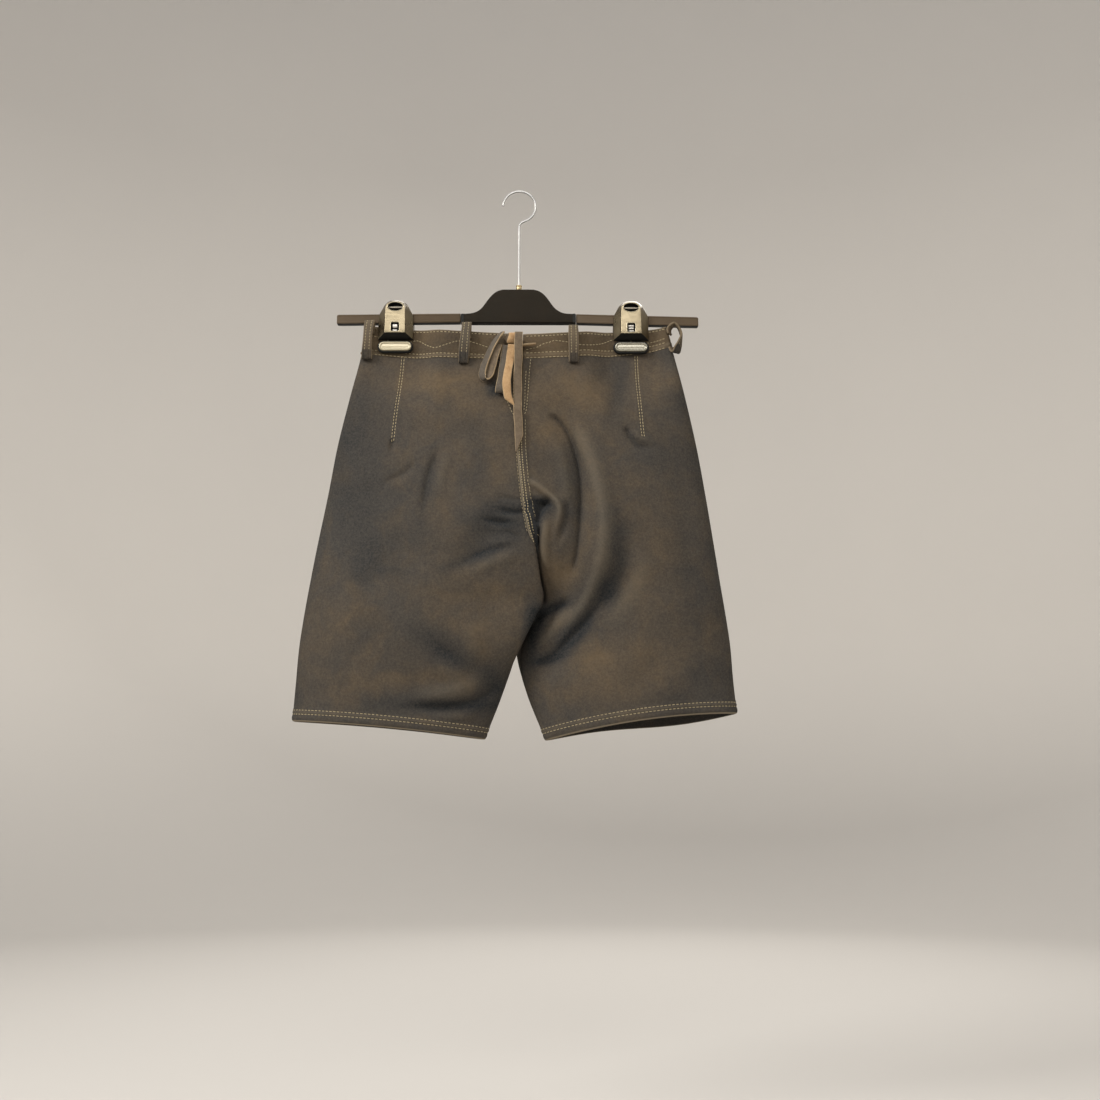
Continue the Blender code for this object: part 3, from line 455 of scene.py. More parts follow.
FRONT_CREASES = {
    "left": (
        (((-14, -392), (-34, -408), (-58, -430)), 6.0, 8.0, -3.2, (0.15, 0.6)),
        (((-12, -414), (-30, -436), (-46, -466)), 7.0, 8.0, -2.8, (0.15, 0.6)),
        (((-150, -330), (-128, -372), (-120, -430)), 14.0, 14.0, -2.2, (0.4, 0.4)),
        (((-190, -500), (-150, -530), (-96, -536)), 12.0, 12.0, -2.4, (0.4, 0.4)),
        (((-96, -250), (-104, -300), (-98, -350)), 10.0, 12.0, -1.6, (0.4, 0.4)),
        (((-60, -560), (-104, -572), (-150, -566)), 9.0, 8.0, -2.4, (0.4, 0.4)),
    ),
    "right": (
        (((22, -394), (44, -412), (66, -436)), 6.0, 8.0, -3.0, (0.15, 0.6)),
        (((24, -418), (40, -440), (52, -470)), 7.0, 8.0, -2.8, (0.15, 0.6)),
        (((146, -320), (130, -368), (124, -420)), 14.0, 14.0, -2.2, (0.4, 0.4)),
        (((186, -490), (150, -520), (104, -530)), 12.0, 12.0, -2.2, (0.4, 0.4)),
        (((90, -246), (98, -300), (92, -360)), 10.0, 12.0, -1.6, (0.4, 0.4)),
        (((66, -556), (110, -566), (160, -560)), 9.0, 8.0, -2.2, (0.4, 0.4)),
    ),
}

# Patches of dye and of painted shade: side, place across and down, reach across and down, lean in degrees, and
# the warm and the dark shares. The strongest dark shares are painted shade in the seat's hollows and folds,
# over the hem's crease and under the lacing's bow; the rest are the dye's own tone. The seat's are in pixels
# as above, the front's in x and z without a side.
SEAT_PATCHES = (
    ("left", 345, 372, 28, 14, 10, 0.35, 0), ("left", 440, 378, 56, 16, -6, 0.45, -0.1),
    ("right", 575, 392, 50, 22, 8, 0.55, 0), ("right", 655, 380, 22, 30, 0, 0.25, 0),
    ("left", 372, 402, 30, 22, 15, -0.1, 0.2), ("left", 455, 420, 40, 24, 0, 0.25, 0),
    ("right", 545, 430, 30, 16, 0, 0.4, 0), ("right", 618, 392, 11, 44, 8, -0.1, 0.3),
    ("right", 610, 440, 18, 22, 0, 0.2, 0), ("right", 664, 450, 26, 26, -20, -0.1, 0.22),
    ("left", 345, 480, 26, 40, 0, 0.05, 0.12), ("left", 372, 482, 26, 14, -30, -0.1, 0.2),
    ("left", 426, 490, 7, 44, 8, -0.1, 0.28), ("left", 447, 500, 12, 40, 8, 0.2, 0),
    ("left", 500, 470, 20, 26, 0, 0.25, 0), ("left", 512, 508, 22, 7, -4, -0.4, 0.45),
    ("left", 497, 521, 26, 6, 6, -0.4, 0.35), ("left", 508, 527, 20, 15, 0, -0.35, 0.42),
    # The first patch below is painted shadow: the bow's cast shadow on the seat.
    ("left", 496, 389, 8, 8, 30, -0.6, 0.9), ("left", 362, 440, 26, 34, 0, -0.15, 0.32),
    ("left", 470, 395, 26, 14, 10, 0.2, 0), ("left", 352, 530, 24, 50, 0, -0.1, 0.18),
    ("left", 480, 555, 32, 7, -24, -0.3, 0.45), ("right", 539, 507, 13, 8, -8, -0.8, 1.35),
    ("right", 535, 518, 7, 15, 0, -0.7, 1.1), ("right", 546, 545, 7, 40, 0, 0.15, -0.2),
    ("right", 545, 470, 16, 26, 0, 0.25, 0), ("right", 568, 490, 9, 50, 0, 0, 0.12),
    ("right", 592, 500, 10, 60, -4, 0.12, -0.2), ("right", 562, 572, 20, 14, 0, 0.4, -0.1),
    ("left", 472, 590, 36, 20, -20, 0.25, 0), ("left", 505, 600, 22, 30, -10, 0.3, 0),
    ("left", 380, 560, 50, 30, 0, 0, 0.14), ("left", 350, 610, 30, 34, 0, 0.2, 0),
    ("left", 455, 660, 20, 9, 20, -0.4, 0.55), ("left", 432, 638, 34, 14, 25, -0.2, 0.3),
    ("left", 400, 640, 40, 20, 0, 0.05, 0.12), ("left", 480, 640, 18, 26, 0, 0.3, 0),
    ("left", 450, 705, 52, 5.5, 0, -0.5, 0.9), ("left", 496, 684, 12, 22, -30, -0.4, 0.65),
    ("left", 340, 690, 40, 20, 0, 0.1, 0), ("left", 410, 680, 44, 9, -6, 0.3, 0),
    ("right", 616, 545, 12, 28, 0, -0.2, 0.4), ("right", 606, 590, 12, 16, -40, -0.4, 0.75),
    ("right", 573, 634, 16, 9, -42, -0.5, 0.85), ("right", 548, 659, 18, 4.5, -12, -0.5, 0.85),
    ("right", 549, 610, 18, 6, -16, -0.5, 0.85), ("right", 532, 640, 7, 24, 0, -0.5, 0.85),
    ("right", 538, 622, 8, 10, 0, -0.5, 0.8), ("right", 564, 622, 12, 20, -40, 0.2, -0.15),
    ("right", 650, 560, 40, 50, 0, 0.15, 0.05), ("right", 690, 600, 30, 50, 0, 0, 0.12),
    ("right", 640, 660, 50, 26, 0, 0.25, 0), ("right", 600, 690, 44, 14, -8, 0.3, 0),
    ("right", 700, 680, 26, 24, 0, -0.1, 0.15), ("right", 590, 660, 30, 16, -20, 0.3, 0),
    ("right", 660, 500, 30, 40, 0, 0.1, 0.1),
)
FRONT_PATCHES = (
    (-150, -220, 34, 22, 10, 0.35, 0.0), (90, -230, 60, 22, -8, 0.4, 0.0), (-60, -290, 44, 40, 0, 0.2, 0.1),
    (130, -310, 40, 40, 0, 0.2, 0.0), (-30, -404, 34, 12, -35, -0.3, 0.4), (36, -410, 34, 12, 35, -0.3, 0.4),
    (-120, -400, 50, 50, 0, 0.0, 0.2), (120, -430, 50, 50, 0, -0.1, 0.2), (-150, -520, 50, 30, 0, 0.25, 0.0),
    (150, -530, 50, 26, 0, 0.2, 0.0), (-90, -560, 60, 10, 4, -0.2, 0.4), (96, -552, 60, 10, -4, -0.2, 0.35),
)
# A pixel at the seat, in millimetres.
PIXEL = 1.07

# ---- the garment's surface, worked out from the tables ----

def smoothstep(low, high, value):
    t = np.clip((np.asarray(value, float) - low) / (high - low), 0.0, 1.0)
    return t * t * (3 - 2 * t)


def hill(distance, width):
    """A smooth hill of height 1."""
    return np.exp(-((distance / width) ** 2))


def section(side, row):
    """Each column of the section table at fractional rows, on a Catmull-Rom curve."""
    table = np.array(SECTIONS[side], float)
    row = np.asarray(row, float)
    i = np.clip(row.astype(int), 0, len(table) - 2)
    t = (row - i)[..., None]
    b, c = table[i], table[i + 1]
    a = np.where((i == 0)[..., None], 2 * b - c, table[np.maximum(0, i - 1)])
    d = np.where((i == len(table) - 2)[..., None], 2 * c - b, table[np.minimum(len(table) - 1, i + 2)])
    values = catmull_rom(a, b, c, d, t)
    out = {name: values[..., k] for k, name in enumerate(COLUMNS)}
    out["leg"] = np.clip(out["leg"], 0.0, 1.0)
    out["roll"] = np.maximum(out["roll"], 0.0)
    out["tuck"] = np.maximum(out["tuck"], 0.0)
    return out


def smooth_line(points, count):
    """Evenly placed points along a Catmull-Rom curve through a few rows of numbers."""
    p = np.array(points, float)
    if len(p) == 2:
        return p[0] + (p[1] - p[0]) * np.linspace(0, 1, count)[:, None]
    p = np.vstack([2 * p[0] - p[1], p, 2 * p[-1] - p[-2]])
    fine = []
    for k in range(1, len(p) - 2):
        a, b, c, d = p[k - 1:k + 3]
        t = np.linspace(0, 1, 24, endpoint=False)[:, None]
        fine.append(catmull_rom(a, b, c, d, t))
    fine = np.vstack(fine + [p[-2][None]])
    reach = reach_of(fine)
    return resample(np.linspace(0, reach[-1], count), reach, fine)


def reach_of(line):
    """The length along a line of points from its first."""
    return np.concatenate([[0], np.cumsum(np.linalg.norm(np.diff(line, axis=0), axis=1))])


def reaches_of(lines):
    """The same for each row of a grid of points."""
    steps = np.linalg.norm(np.diff(lines, axis=1), axis=2)
    return np.concatenate([np.zeros((len(lines), 1)), np.cumsum(steps, axis=1)], axis=1)


def resample(at, known, line):
    """Each column of a line of points at new places along it."""
    return np.stack([np.interp(at, known, line[:, k]) for k in range(line.shape[1])], axis=1)


def unit(vectors):
    return vectors / np.maximum(np.linalg.norm(vectors, axis=-1, keepdims=True), 1e-9)


def catmull_rom(a, b, c, d, t):
    """The curve between b and c at t from 0 to 1."""
    cubic = (-a + 3 * b - 3 * c + d) * t ** 3 + (2 * a - 5 * b + 4 * c - d) * t ** 2
    return 0.5 * (cubic + (c - a) * t) + b


def line_field(points, x, z, count=40):
    return polyline_field(smooth_line(points, count), x, z)


def polyline_field(line, x, z):
    """How far (x, z) is from a line, how far along it (0 to 1), and on which side (+1 is its left)."""
    count = len(line)
    shape = np.broadcast(x, z).shape
    x = np.broadcast_to(x, shape).ravel()
    z = np.broadcast_to(z, shape).ravel()
    best = np.full(x.shape, 1e9)
    along = np.zeros(x.shape)
    side = np.ones(x.shape)
    for k in range(count - 1):
        px, pz = line[k]
        dx, dz = line[k + 1] - line[k]
        size = dx * dx + dz * dz
        t = np.clip(((x - px) * dx + (z - pz) * dz) / size, 0, 1)
        ox, oz = x - px - t * dx, z - pz - t * dz
        distance = np.hypot(ox, oz)
        nearer = distance < best
        best[nearer] = distance[nearer]
        along[nearer] = (k + t[nearer]) / (count - 1)
        side[nearer] = np.where(dx * oz - dz * ox > 0, 1, -1)[nearer]
    return best.reshape(shape), along.reshape(shape), side.reshape(shape)


def bend_line(start, middle, end, steps=10):
    """Points of the quadratic curve that passes through three points."""
    t = np.linspace(0, 1, steps + 1)[:, None]
    a, b, c = (np.array(p, float) for p in (start, middle, end))
    return (1 - t) * (1 - 2 * t) * a + 4 * t * (1 - t) * b + t * (2 * t - 1) * c


def fold_height(folds, x, z):
    """The deep folds that the garment's solids have too."""
    total = np.zeros(np.broadcast(x, z).shape)
    for start, middle, end, width, height in folds:
        distance, along, _ = polyline_field(bend_line(start, middle, end), x, z)
        fade = np.sin(np.pi * np.clip(0.08 + 0.84 * along, 0, 1))
        total += height * fade * hill(distance, width)
    return total


def crease_height(creases, x, z):
    """The finer creases: a soft ridge or trough along each line, its two flanks of their own widths."""
    total = np.zeros(np.broadcast(x, z).shape)
    for points, left_width, right_width, height, ends in creases:
        distance, along, side = line_field(points, x, z)
        width = np.where(side > 0, left_width, right_width)
        head, tail = ends
        fade = smoothstep(0, max(head, 1e-3), along) * smoothstep(0, max(tail, 1e-3), 1 - along)
        total += height * fade * hill(distance, width)
    return total


def pinch(x, z):
    """1 where a clip's jaws press the two layers together, 0 away from them."""
    fade = 1.0 - smoothstep(-192.0, PINCH_END, z)
    apart = np.minimum(*(np.abs(x - c) for c in CLIPS.values()))
    return fade * (1.0 - smoothstep(PINCH_FLAT, PINCH_REACH, apart))


def surface(side, face, row, u, fine=True):
    """The middle of the leather: u runs from the inner edge (0) to the side seam (1)."""
    row, u = np.broadcast_arrays(np.asarray(row, float), np.asarray(u, float))
    s = section(side, row)
    back = face == "back"
    t = 0.5 - 0.5 * np.cos(np.pi * u)
    rise_out = np.sqrt(np.maximum(0.0, 1 - t * t))
    tuck = s["tuck"] if back else 0.0
    risen = np.maximum(0.0, (t - tuck) / (1 - tuck))
    rise_in = np.sqrt(np.maximum(0.0, 1 - (1 - risen) ** 2)) ** (1 + TUCK_SOFTNESS * tuck)
    depth = s["depth_back"] if back else s["depth_front"]
    fullness = depth * rise_out * ((1 - s["leg"]) + s["leg"] * 1.33 * rise_in)
    y = (-fullness if back else fullness) + s["y_side"] * t ** SIDE_SWING
    y = y + s["y_in"] * s["leg"] * (1 - t * t) ** 2
    apart = LEG_CLEARANCE * smoothstep(CROTCH_ROW, CROTCH_ROW + 0.35, row)
    x_in = s["x_in"] + (-apart if side == "left" else apart)
    x = x_in + (s["x_side"] - x_in) * t
    bow = s["bow_back"] if back else s["bow_front"]
    z = s["z_in"] + (s["z_side"] - s["z_in"]) * t + bow * 4 * t * (1 - t)
    if not back:
        z = z + s["sway_front"] * np.sin(2 * np.pi * t)
    if back:
        x = x + s["roll"] * np.sin(np.pi * np.minimum(1.0, u / ROLL_REACH)) ** 2
    edge = np.minimum(1.0, np.minimum(6 * t, 6 * (1 - t)))
    below = smoothstep(BAND_SEAM_ROW, BAND_SEAM_ROW + 1, row)
    lift = fold_height(BACK_FOLDS if back else FRONT_FOLDS, x, z) * edge * below
    if fine:
        creases = CREASES[(side, face)]
        soft = smoothstep(0, 0.05, t) * smoothstep(0, 0.04, 1 - t)
        lift = lift + crease_height(creases, x, z) * soft * smoothstep(1.0, 1.12, row)
    y = y + (-lift if back else lift)
    press = pinch(x, z)
    held = -PINCH_Y if back else PINCH_Y
    y = y * (1 - press) + held * press * np.minimum(1.0, 2.5 * rise_out)
    return np.stack([x, y, z], axis=-1)


def outward(side, face):
    return (1 if side == "left" else -1) * (1 if face == "back" else -1)


def normals_of(grid, sign):
    """Unit normals of a grid of points, all turned to one side."""
    down = np.gradient(grid, axis=0)
    across = np.gradient(grid, axis=1)
    return unit(sign * np.cross(across, down))


def locate(side, face, x, z):
    """The row and u of the surface's point at (x, z)."""
    x = np.asarray(x, float)
    z = np.asarray(z, float)
    row = np.full(x.shape, 3.0)
    t = np.full(x.shape, 0.5)
    for _ in range(40):
        u = np.arccos(np.clip(1 - 2 * t, -1, 1)) / np.pi
        here = surface(side, face, row, u, fine=False)
        ahead = surface(side, face, np.minimum(row + 0.02, HEM_ROW), u, fine=False)
        fall = np.minimum((ahead[..., 2] - here[..., 2]) / 0.02, -5.0)
        row = np.clip(row + (z - here[..., 2]) / fall * 0.8, 0.0, HEM_ROW)
        s = section(side, row)
        t = np.clip(t + (x - here[..., 0]) / (s["x_side"] - s["x_in"]) * 0.8, 0.0, 1.0)
    return row, np.arccos(np.clip(1 - 2 * t, -1, 1)) / np.pi


def on_surface(side, face, row, u):
    """Points and outward normals at paired rows and us."""
    row = np.asarray(row, float)
    u = np.asarray(u, float)
    here = surface(side, face, row, u)
    eps_r, eps_u = 0.02, 0.004
    down = surface(side, face, np.minimum(row + eps_r, HEM_ROW), u)
    down = down - surface(side, face, np.maximum(row - eps_r, 0), u)
    across = surface(side, face, row, np.minimum(u + eps_u, 1))
    across = across - surface(side, face, row, np.maximum(u - eps_u, 0))
    return here, unit(outward(side, face) * np.cross(across, down))


# ---- from the camera's pixels to the seat's surface ----

def seen_at(side, across, down):
    """The places in x and z at which one side of the seat shows at pixels of the camera's frame."""
    right = (np.asarray(across, float) - IMAGE_SIDE / 2) / FOCAL
    up = (IMAGE_SIDE / 2 - np.asarray(down, float)) / FOCAL
    level, lift = math.cos(PITCH), math.sin(PITCH)
    eye = np.array(camera.location) / MM
    depth = np.full(right.shape, -25.0)
    for _ in range(8):
        far = (depth - eye[1]) / (level - up * lift)
        x, z = eye[0] + right * far, eye[2] + (lift + up * level) * far
        row, u = locate(side, "back", x, z)
        depth = surface(side, "back", row, u, fine=False)[..., 1] - 1.0
    return x, z


def place_creases():
    """Every crease with its places in x and z."""
    placed = {(side, "front"): rows for side, rows in FRONT_CREASES.items()}
    for side, rows in SEAT_CREASES.items():
        x, z = seen_at(side, *np.array([place for line, *_ in rows for place in line], float).T)
        at = 0
        lines = []
        for line, *shape in rows:
            step = at + len(line)
            lines.append((tuple(zip(x[at:step], z[at:step])), *shape))
            at = step
        placed[(side, "back")] = tuple(lines)
    return placed


def place_patches():
    """Every patch of dye and of painted shade, with its place and reach in millimetres."""
    seat = []
    for side in ("left", "right"):
        rows = [row[1:] for row in SEAT_PATCHES if row[0] == side]
        x, z = seen_at(side, *np.array([row[:2] for row in rows], float).T)
        for place_x, place_z, (_, _, wide, tall, lean, warm, dark) in zip(x, z, rows):
            seat.append((place_x, place_z, wide * PIXEL, tall * PIXEL, -lean, warm, dark))
    return {"back": tuple(seat), "front": FRONT_PATCHES}


CREASES = place_creases()
PATCHES = place_patches()


# ---- materials ----

def leather_material(name, base, warm, cool, dark, shift=0.0):
    """Mottled nubuck: dye patches in three sizes, a fine nap, warm and dark patches from the mesh (the darkest
    of them painted shade), and paler wear and painted highlight.
    """
    n = Nodes(name)
    wide = n.noise(9.0 + shift, 2.0, 0.5)
    middle = n.noise(34.0 + shift, 4.0, 0.6, distortion=0.6)
    small = n.noise(130.0, 5.0, 0.65)
    nap = n.noise(900.0, 3.0, 0.7)
    color = n.mix(n.ramp(wide, 0.36, 0.64), base, cool)
    warmth = n.math("ADD", n.ramp(middle, 0.42, 0.72, 0.0, 0.38), n.attribute("warm"))
    color = n.mix(n.math("MINIMUM", n.math("MAXIMUM", warmth, 0.0), 1.0), color, warm)
    color = n.mix(n.ramp(small, 0.36, 0.68, 0.0, 0.4), color, n.mix(0.5, color, dark))
    # The dark field carries the dye's dark patches and painted shade in hollows, crease troughs and inside;
    # the noise adds random dark mottling.
    shade = n.math("ADD", n.attribute("dark"), n.ramp(n.noise(19.0, 3.0, 0.5), 0.46, 0.74, 0.0, 0.42))
    color = n.mix(n.math("MINIMUM", n.math("MAXIMUM", shade, 0.0), 1.0), color, dark)
    color = n.mix(n.ramp(nap, 0.3, 0.75, 0.0, 0.6), color, n.mix(0.3, color, (0.17, 0.14, 0.10)))
    grain = n.noise(430.0, 3.0, 0.6)
    color = n.mix(n.ramp(grain, 0.36, 0.64, 0.0, 0.28), color, n.mix(0.34, color, (0.16, 0.14, 0.11)))
    color = n.mix(n.ramp(grain, 0.64, 0.36, 0.0, 0.3), color, n.mix(0.4, color, dark))
    # Paler where the leather is worn at its edges, and painted highlight along the creases' ridges.
    color = n.mix(n.attribute("wear_and_highlight"), color, (0.26, 0.215, 0.15))
    rough = n.ramp(middle, 0.3, 0.7, 0.86, 0.97)
    normal = n.bump((small, 0.5), (nap, 0.16), (n.noise(2400.0, 2.0), 0.08))
    return n.set(color=color, rough=rough, normal=normal, specular=0.07)


BASE = (0.051, 0.043, 0.0355)
WARM = (0.108, 0.075, 0.042)
COOL = (0.043, 0.040, 0.0375)
DARK = (0.008, 0.012, 0.017)
LEATHER_SKIN = leather_material("nubuck", BASE, WARM, COOL, DARK)
BAND_BASE = (0.078, 0.054, 0.031)
BAND_WARM = (0.11, 0.075, 0.040)
BAND_COOL = (0.062, 0.045, 0.027)
BAND_SKIN = leather_material("nubuck_band", BAND_BASE, BAND_WARM, BAND_COOL, DARK, 5.0)


def thread_material():
    n = Nodes("thread")
    twist = n.noise(1500.0, 2.0, 0.6, where=n.stretch(1, 1, 0.4))
    color = n.mix(twist, (0.26, 0.21, 0.125), (0.40, 0.34, 0.215))
    return n.set(color=color, rough=0.8, specular=0.1, normal=n.bump((twist, 0.1)))


THREAD = thread_material()


def strap_skin(name, base, light, dark):
    """One side of a cut strap: a nap with short fibres and soft handling marks."""
    n = Nodes(name)
    middle = n.noise(60.0, 4.0, 0.6, distortion=0.5)
    small = n.noise(260.0, 5.0, 0.65)
    fibre = n.noise(1100.0, 3.0, 0.7, where=n.stretch(1.0, 1.0, 0.45))
    color = n.mix(n.ramp(middle, 0.35, 0.7), base, light)
    color = n.mix(n.ramp(small, 0.42, 0.75, 0.0, 0.55), color, dark)
    color = n.mix(n.ramp(fibre, 0.35, 0.75, 0.0, 0.35), color, light)
    normal = n.bump((small, 0.35), (fibre, 0.16))
    return n.set(color=color, rough=n.ramp(middle, 0.3, 0.7, 0.8, 0.95), normal=normal,
                 specular=0.08)


STRAPS = {
    # base, light, dark
    "flesh_side": ((0.31, 0.19, 0.095), (0.44, 0.295, 0.16), (0.16, 0.09, 0.042)),
    "dyed_edge": ((0.12, 0.092, 0.06), (0.19, 0.15, 0.10), (0.05, 0.038, 0.026)),
    "cut_edge": ((0.27, 0.195, 0.115), (0.38, 0.29, 0.18), (0.13, 0.09, 0.05)),
    "lace_slate": ((0.082, 0.069, 0.055), (0.12, 0.102, 0.082), (0.038, 0.032, 0.026)),
    "lace_umber": ((0.105, 0.079, 0.054), (0.155, 0.12, 0.084), (0.045, 0.034, 0.024)),
}
STRAP_SKINS = {name: strap_skin(name, *row) for name, row in STRAPS.items()}


def moulded_skin(name, base, light, rough, metal, coat, scratch, relief, specular):
    """Moulded plastic or plate: fine scuffs that lighten it and change its gloss."""
    n = Nodes(name)
    cloud = n.noise(28.0, 3.0, 0.55)
    scuff = n.noise(420.0, 4.0, 0.7, where=n.stretch(0.25, 1.0, 1.0))
    grain = n.noise(1600.0, 2.0, 0.6)
    color = n.mix(n.ramp(cloud, 0.35, 0.7, 0.0, 0.6), base, light)
    color = n.mix(n.ramp(scuff, 0.58, 0.78, 0.0, scratch), color, tuple(min(1.0, 1.8 * c) for c in light))
    dull = n.math("ADD", n.ramp(scuff, 0.45, 0.8, 0.0, 0.18), n.ramp(cloud, 0.3, 0.7, rough, rough + 0.08))
    return n.set(color=color, rough=dull, metal=metal, coat=coat, coat_rough=0.12,
                 specular=specular, normal=n.bump((grain, 0.006 * relief), (scuff, 0.008 * relief)))


MOULDED = {
    # base, light, rough, metal, coat, scratch, relief, specular
    "black_body": ((0.013, 0.010, 0.006), (0.018, 0.013, 0.008), 0.62, 0.0, 0.0, 0.06, 1.0, 0.12),
    "worn_rail": ((0.076, 0.054, 0.033), (0.10, 0.074, 0.047), 0.6, 0.0, 0.0, 0.22, 1.0, 0.16),
    "gunmetal_shell": ((0.19, 0.16, 0.105), (0.24, 0.20, 0.135), 0.24, 1.0, 0.0, 0.1, 0.1, 0.3),
    # A brighter copy of the shell for the holes' rims: painted highlight.
    "rim_highlight": ((0.34, 0.30, 0.21), (0.42, 0.37, 0.27), 0.28, 1.0, 0.0, 0.1, 0.1, 0.3),
    # Near black: painted shade in the covers' recesses, on their downward facets and backs, in the cups round
    # the lips and under the arms; also the dark collars.
    "black_and_shade": ((0.007, 0.007, 0.006), (0.011, 0.011, 0.010), 0.5, 0.0, 0.0, 0.1, 1.0, 0.2),
    "pale_pin": ((0.42, 0.38, 0.31), (0.5, 0.46, 0.38), 0.4, 0.5, 0.0, 0.1, 1.0, 0.3),
    # The spring's near white stands in for its glint: painted highlight.
    "spring_glint": ((0.72, 0.70, 0.64), (0.80, 0.78, 0.74), 0.35, 0.2, 0.3, 0.1, 1.0, 0.3),
    # Lit and shaded copies of one lip finish: painted light and shade.
    "lit_lip": ((0.38, 0.335, 0.23), (0.48, 0.43, 0.30), 0.25, 0.3, 0.5, 0.3, 1.0, 0.3),
    "shaded_lip": ((0.24, 0.225, 0.175), (0.31, 0.29, 0.23), 0.22, 0.5, 0.5, 0.25, 1.0, 0.3),
    "spring_steel": ((0.30, 0.30, 0.295), (0.42, 0.415, 0.40), 0.34, 1.0, 0.0, 0.2, 1.0, 0.3),
    "dull_brass": ((0.42, 0.33, 0.19), (0.58, 0.47, 0.28), 0.3, 1.0, 0.0, 0.2, 1.0, 0.3),
    "brown_horn": ((0.07, 0.042, 0.024), (0.20, 0.13, 0.075), 0.28, 0.0, 0.3, 0.2, 1.0, 0.3),
}
MOULDED_SKINS = {name: moulded_skin(name, *row) for name, row in MOULDED.items()}


# ---- mesh helpers ----
# How far a wall's rim swells past its edge, in thicknesses.
RIM_SWELL = 0.22


def add_piece(name, mesh, skins, node=None):
    """A built mesh as a smooth piece that rides on the one body and may stand for a node of the frame."""
    mesh.shade_smooth()
    for skin in skins:
        mesh.materials.append(skin)
    obj = bpy.data.objects.new(name, mesh)
    bpy.context.scene.collection.objects.link(obj)
    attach(obj, "root")
    if node is not None:
        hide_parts(node)
    return obj


def faces_out(mesh, merge=0.0):
    """The mesh with its faces turned outwards, and with points nearer than merge (in metres) made one."""
    work = bmesh.new()
    work.from_mesh(mesh)
    if merge > 0:
        bmesh.ops.remove_doubles(work, verts=work.verts, dist=merge)
    bmesh.ops.recalc_face_normals(work, faces=work.faces)
    work.to_mesh(mesh)
    work.free()
    return mesh


def mesh_from(name, points, faces):
    mesh = bpy.data.meshes.new(name)
    points = np.asarray(points, float).reshape(-1, 3) * MM
    mesh.from_pydata(points.tolist(), [], [tuple(int(i) for i in f) for f in faces])
    mesh.validate()
    return mesh


def set_attribute(mesh, name, values):
    layer = mesh.attributes.new(name, "FLOAT", "POINT")
    layer.data.foreach_set("value", np.asarray(values, np.float32).ravel())


def set_fields(mesh, fields):
    """The colour fields on a shell (dye, wear, painted shade and painted highlight): values on its outer grid,
    and one number for its inner grid and its rim.
    """
    for name, (values, inside, edge) in fields.items():
        rim = len(mesh.vertices) - 2 * values.size
        full = np.concatenate([values.ravel(), np.full(values.size, inside), np.full(rim, edge)])
        set_attribute(mesh, name, full)


def quads(rows, cols, start=0, flip=False):
    i, j = np.meshgrid(np.arange(rows - 1), np.arange(cols - 1), indexing="ij")
    a = start + i * cols + j
    out = np.stack([a, a + 1, a + cols + 1, a + cols], axis=-1).reshape(-1, 4)
    return out[:, ::-1] if flip else out


def rim_of(rows, cols):
    top = list(range(cols))
    right = [i * cols + cols - 1 for i in range(1, rows)]
    bottom = [(rows - 1) * cols + j for j in range(cols - 2, -1, -1)]
    left = [i * cols for i in range(rows - 2, 0, -1)]
    return top + right + bottom + left


def shell(name, outer, inner, flip):
    """A closed wall between two grids of points, with a rounded rim."""
    rows, cols = outer.shape[:2]
    count = rows * cols
    points = [outer.reshape(-1, 3), inner.reshape(-1, 3)]
    faces = [quads(rows, cols, 0, flip), quads(rows, cols, count, not flip)]
    rim = np.array(rim_of(rows, cols))
    across, down = np.clip(rim % cols, 1, cols - 2), np.clip(rim // cols, 1, rows - 2)
    inward = unit(points[0][rim] - points[0][down * cols + across])
    thick = np.linalg.norm(points[0][rim] - points[1][rim], axis=1, keepdims=True)
    points.append((points[0][rim] + points[1][rim]) / 2 + inward * thick * RIM_SWELL)
    total = len(rim)
    middle = 2 * count + np.arange(total)
    after, middle_after = np.roll(rim, -1), np.roll(middle, -1)
    upper = np.stack([rim, middle, middle_after, after], axis=1)
    lower = np.stack([middle, count + rim, count + after, middle_after], axis=1)
    sides = np.stack([upper, lower], axis=1).reshape(-1, 4)
    faces.append(sides[:, ::-1] if flip else sides)
    return mesh_from(name, np.vstack(points), np.vstack(faces))


def loft(rings, closed=True):
    """Points and faces of rings of equal length, joined and capped."""
    count = len(rings[0])
    faces = []
    for r in range(len(rings) - 1):
        for k in range(count):
            n = (k + 1) % count
            faces.append((r * count + k, (r + 1) * count + k, (r + 1) * count + n, r * count + n))
    if closed:
        last = (len(rings) - 1) * count
        faces += [tuple(range(count)), tuple(range(last + count - 1, last - 1, -1))]
    return np.vstack([np.asarray(r, float) for r in rings]), faces


# ---- stitches ----
STITCH_PITCH = 4.1
STITCH_RADIUS = 0.4
STITCH_SIDES = 6
# The rings of one stitch: place along it, share of its radius, and rise in radii where its ends dive in.
STITCH_RINGS = ((-0.5, 0.35, -1.0), (-0.34, 0.9, -0.2), (0.0, 1.0, 0.1), (0.34, 0.9, -0.2), (0.5, 0.35, -1.0))


def tree_of(*objects):
    """A search tree of built pieces, in millimetres."""
    points, faces = [], []
    for obj in objects:
        start = len(points)
        points += [v.co / MM for v in obj.data.vertices]
        faces += [[start + i for i in p.vertices] for p in obj.data.polygons]
    return BVHTree.FromPolygons(points, faces)


def land(tree, points, normals, reach=7.0):
    """Points dropped along their normals onto the nearest built surface under them."""
    out = []
    for p, n in zip(points, normals):
        p, n = Vector(p), Vector(n)
        hit = tree.ray_cast(p + n * reach, -n, 2 * reach)[0]
        out.append(hit if hit is not None else p)
    return np.array(out)


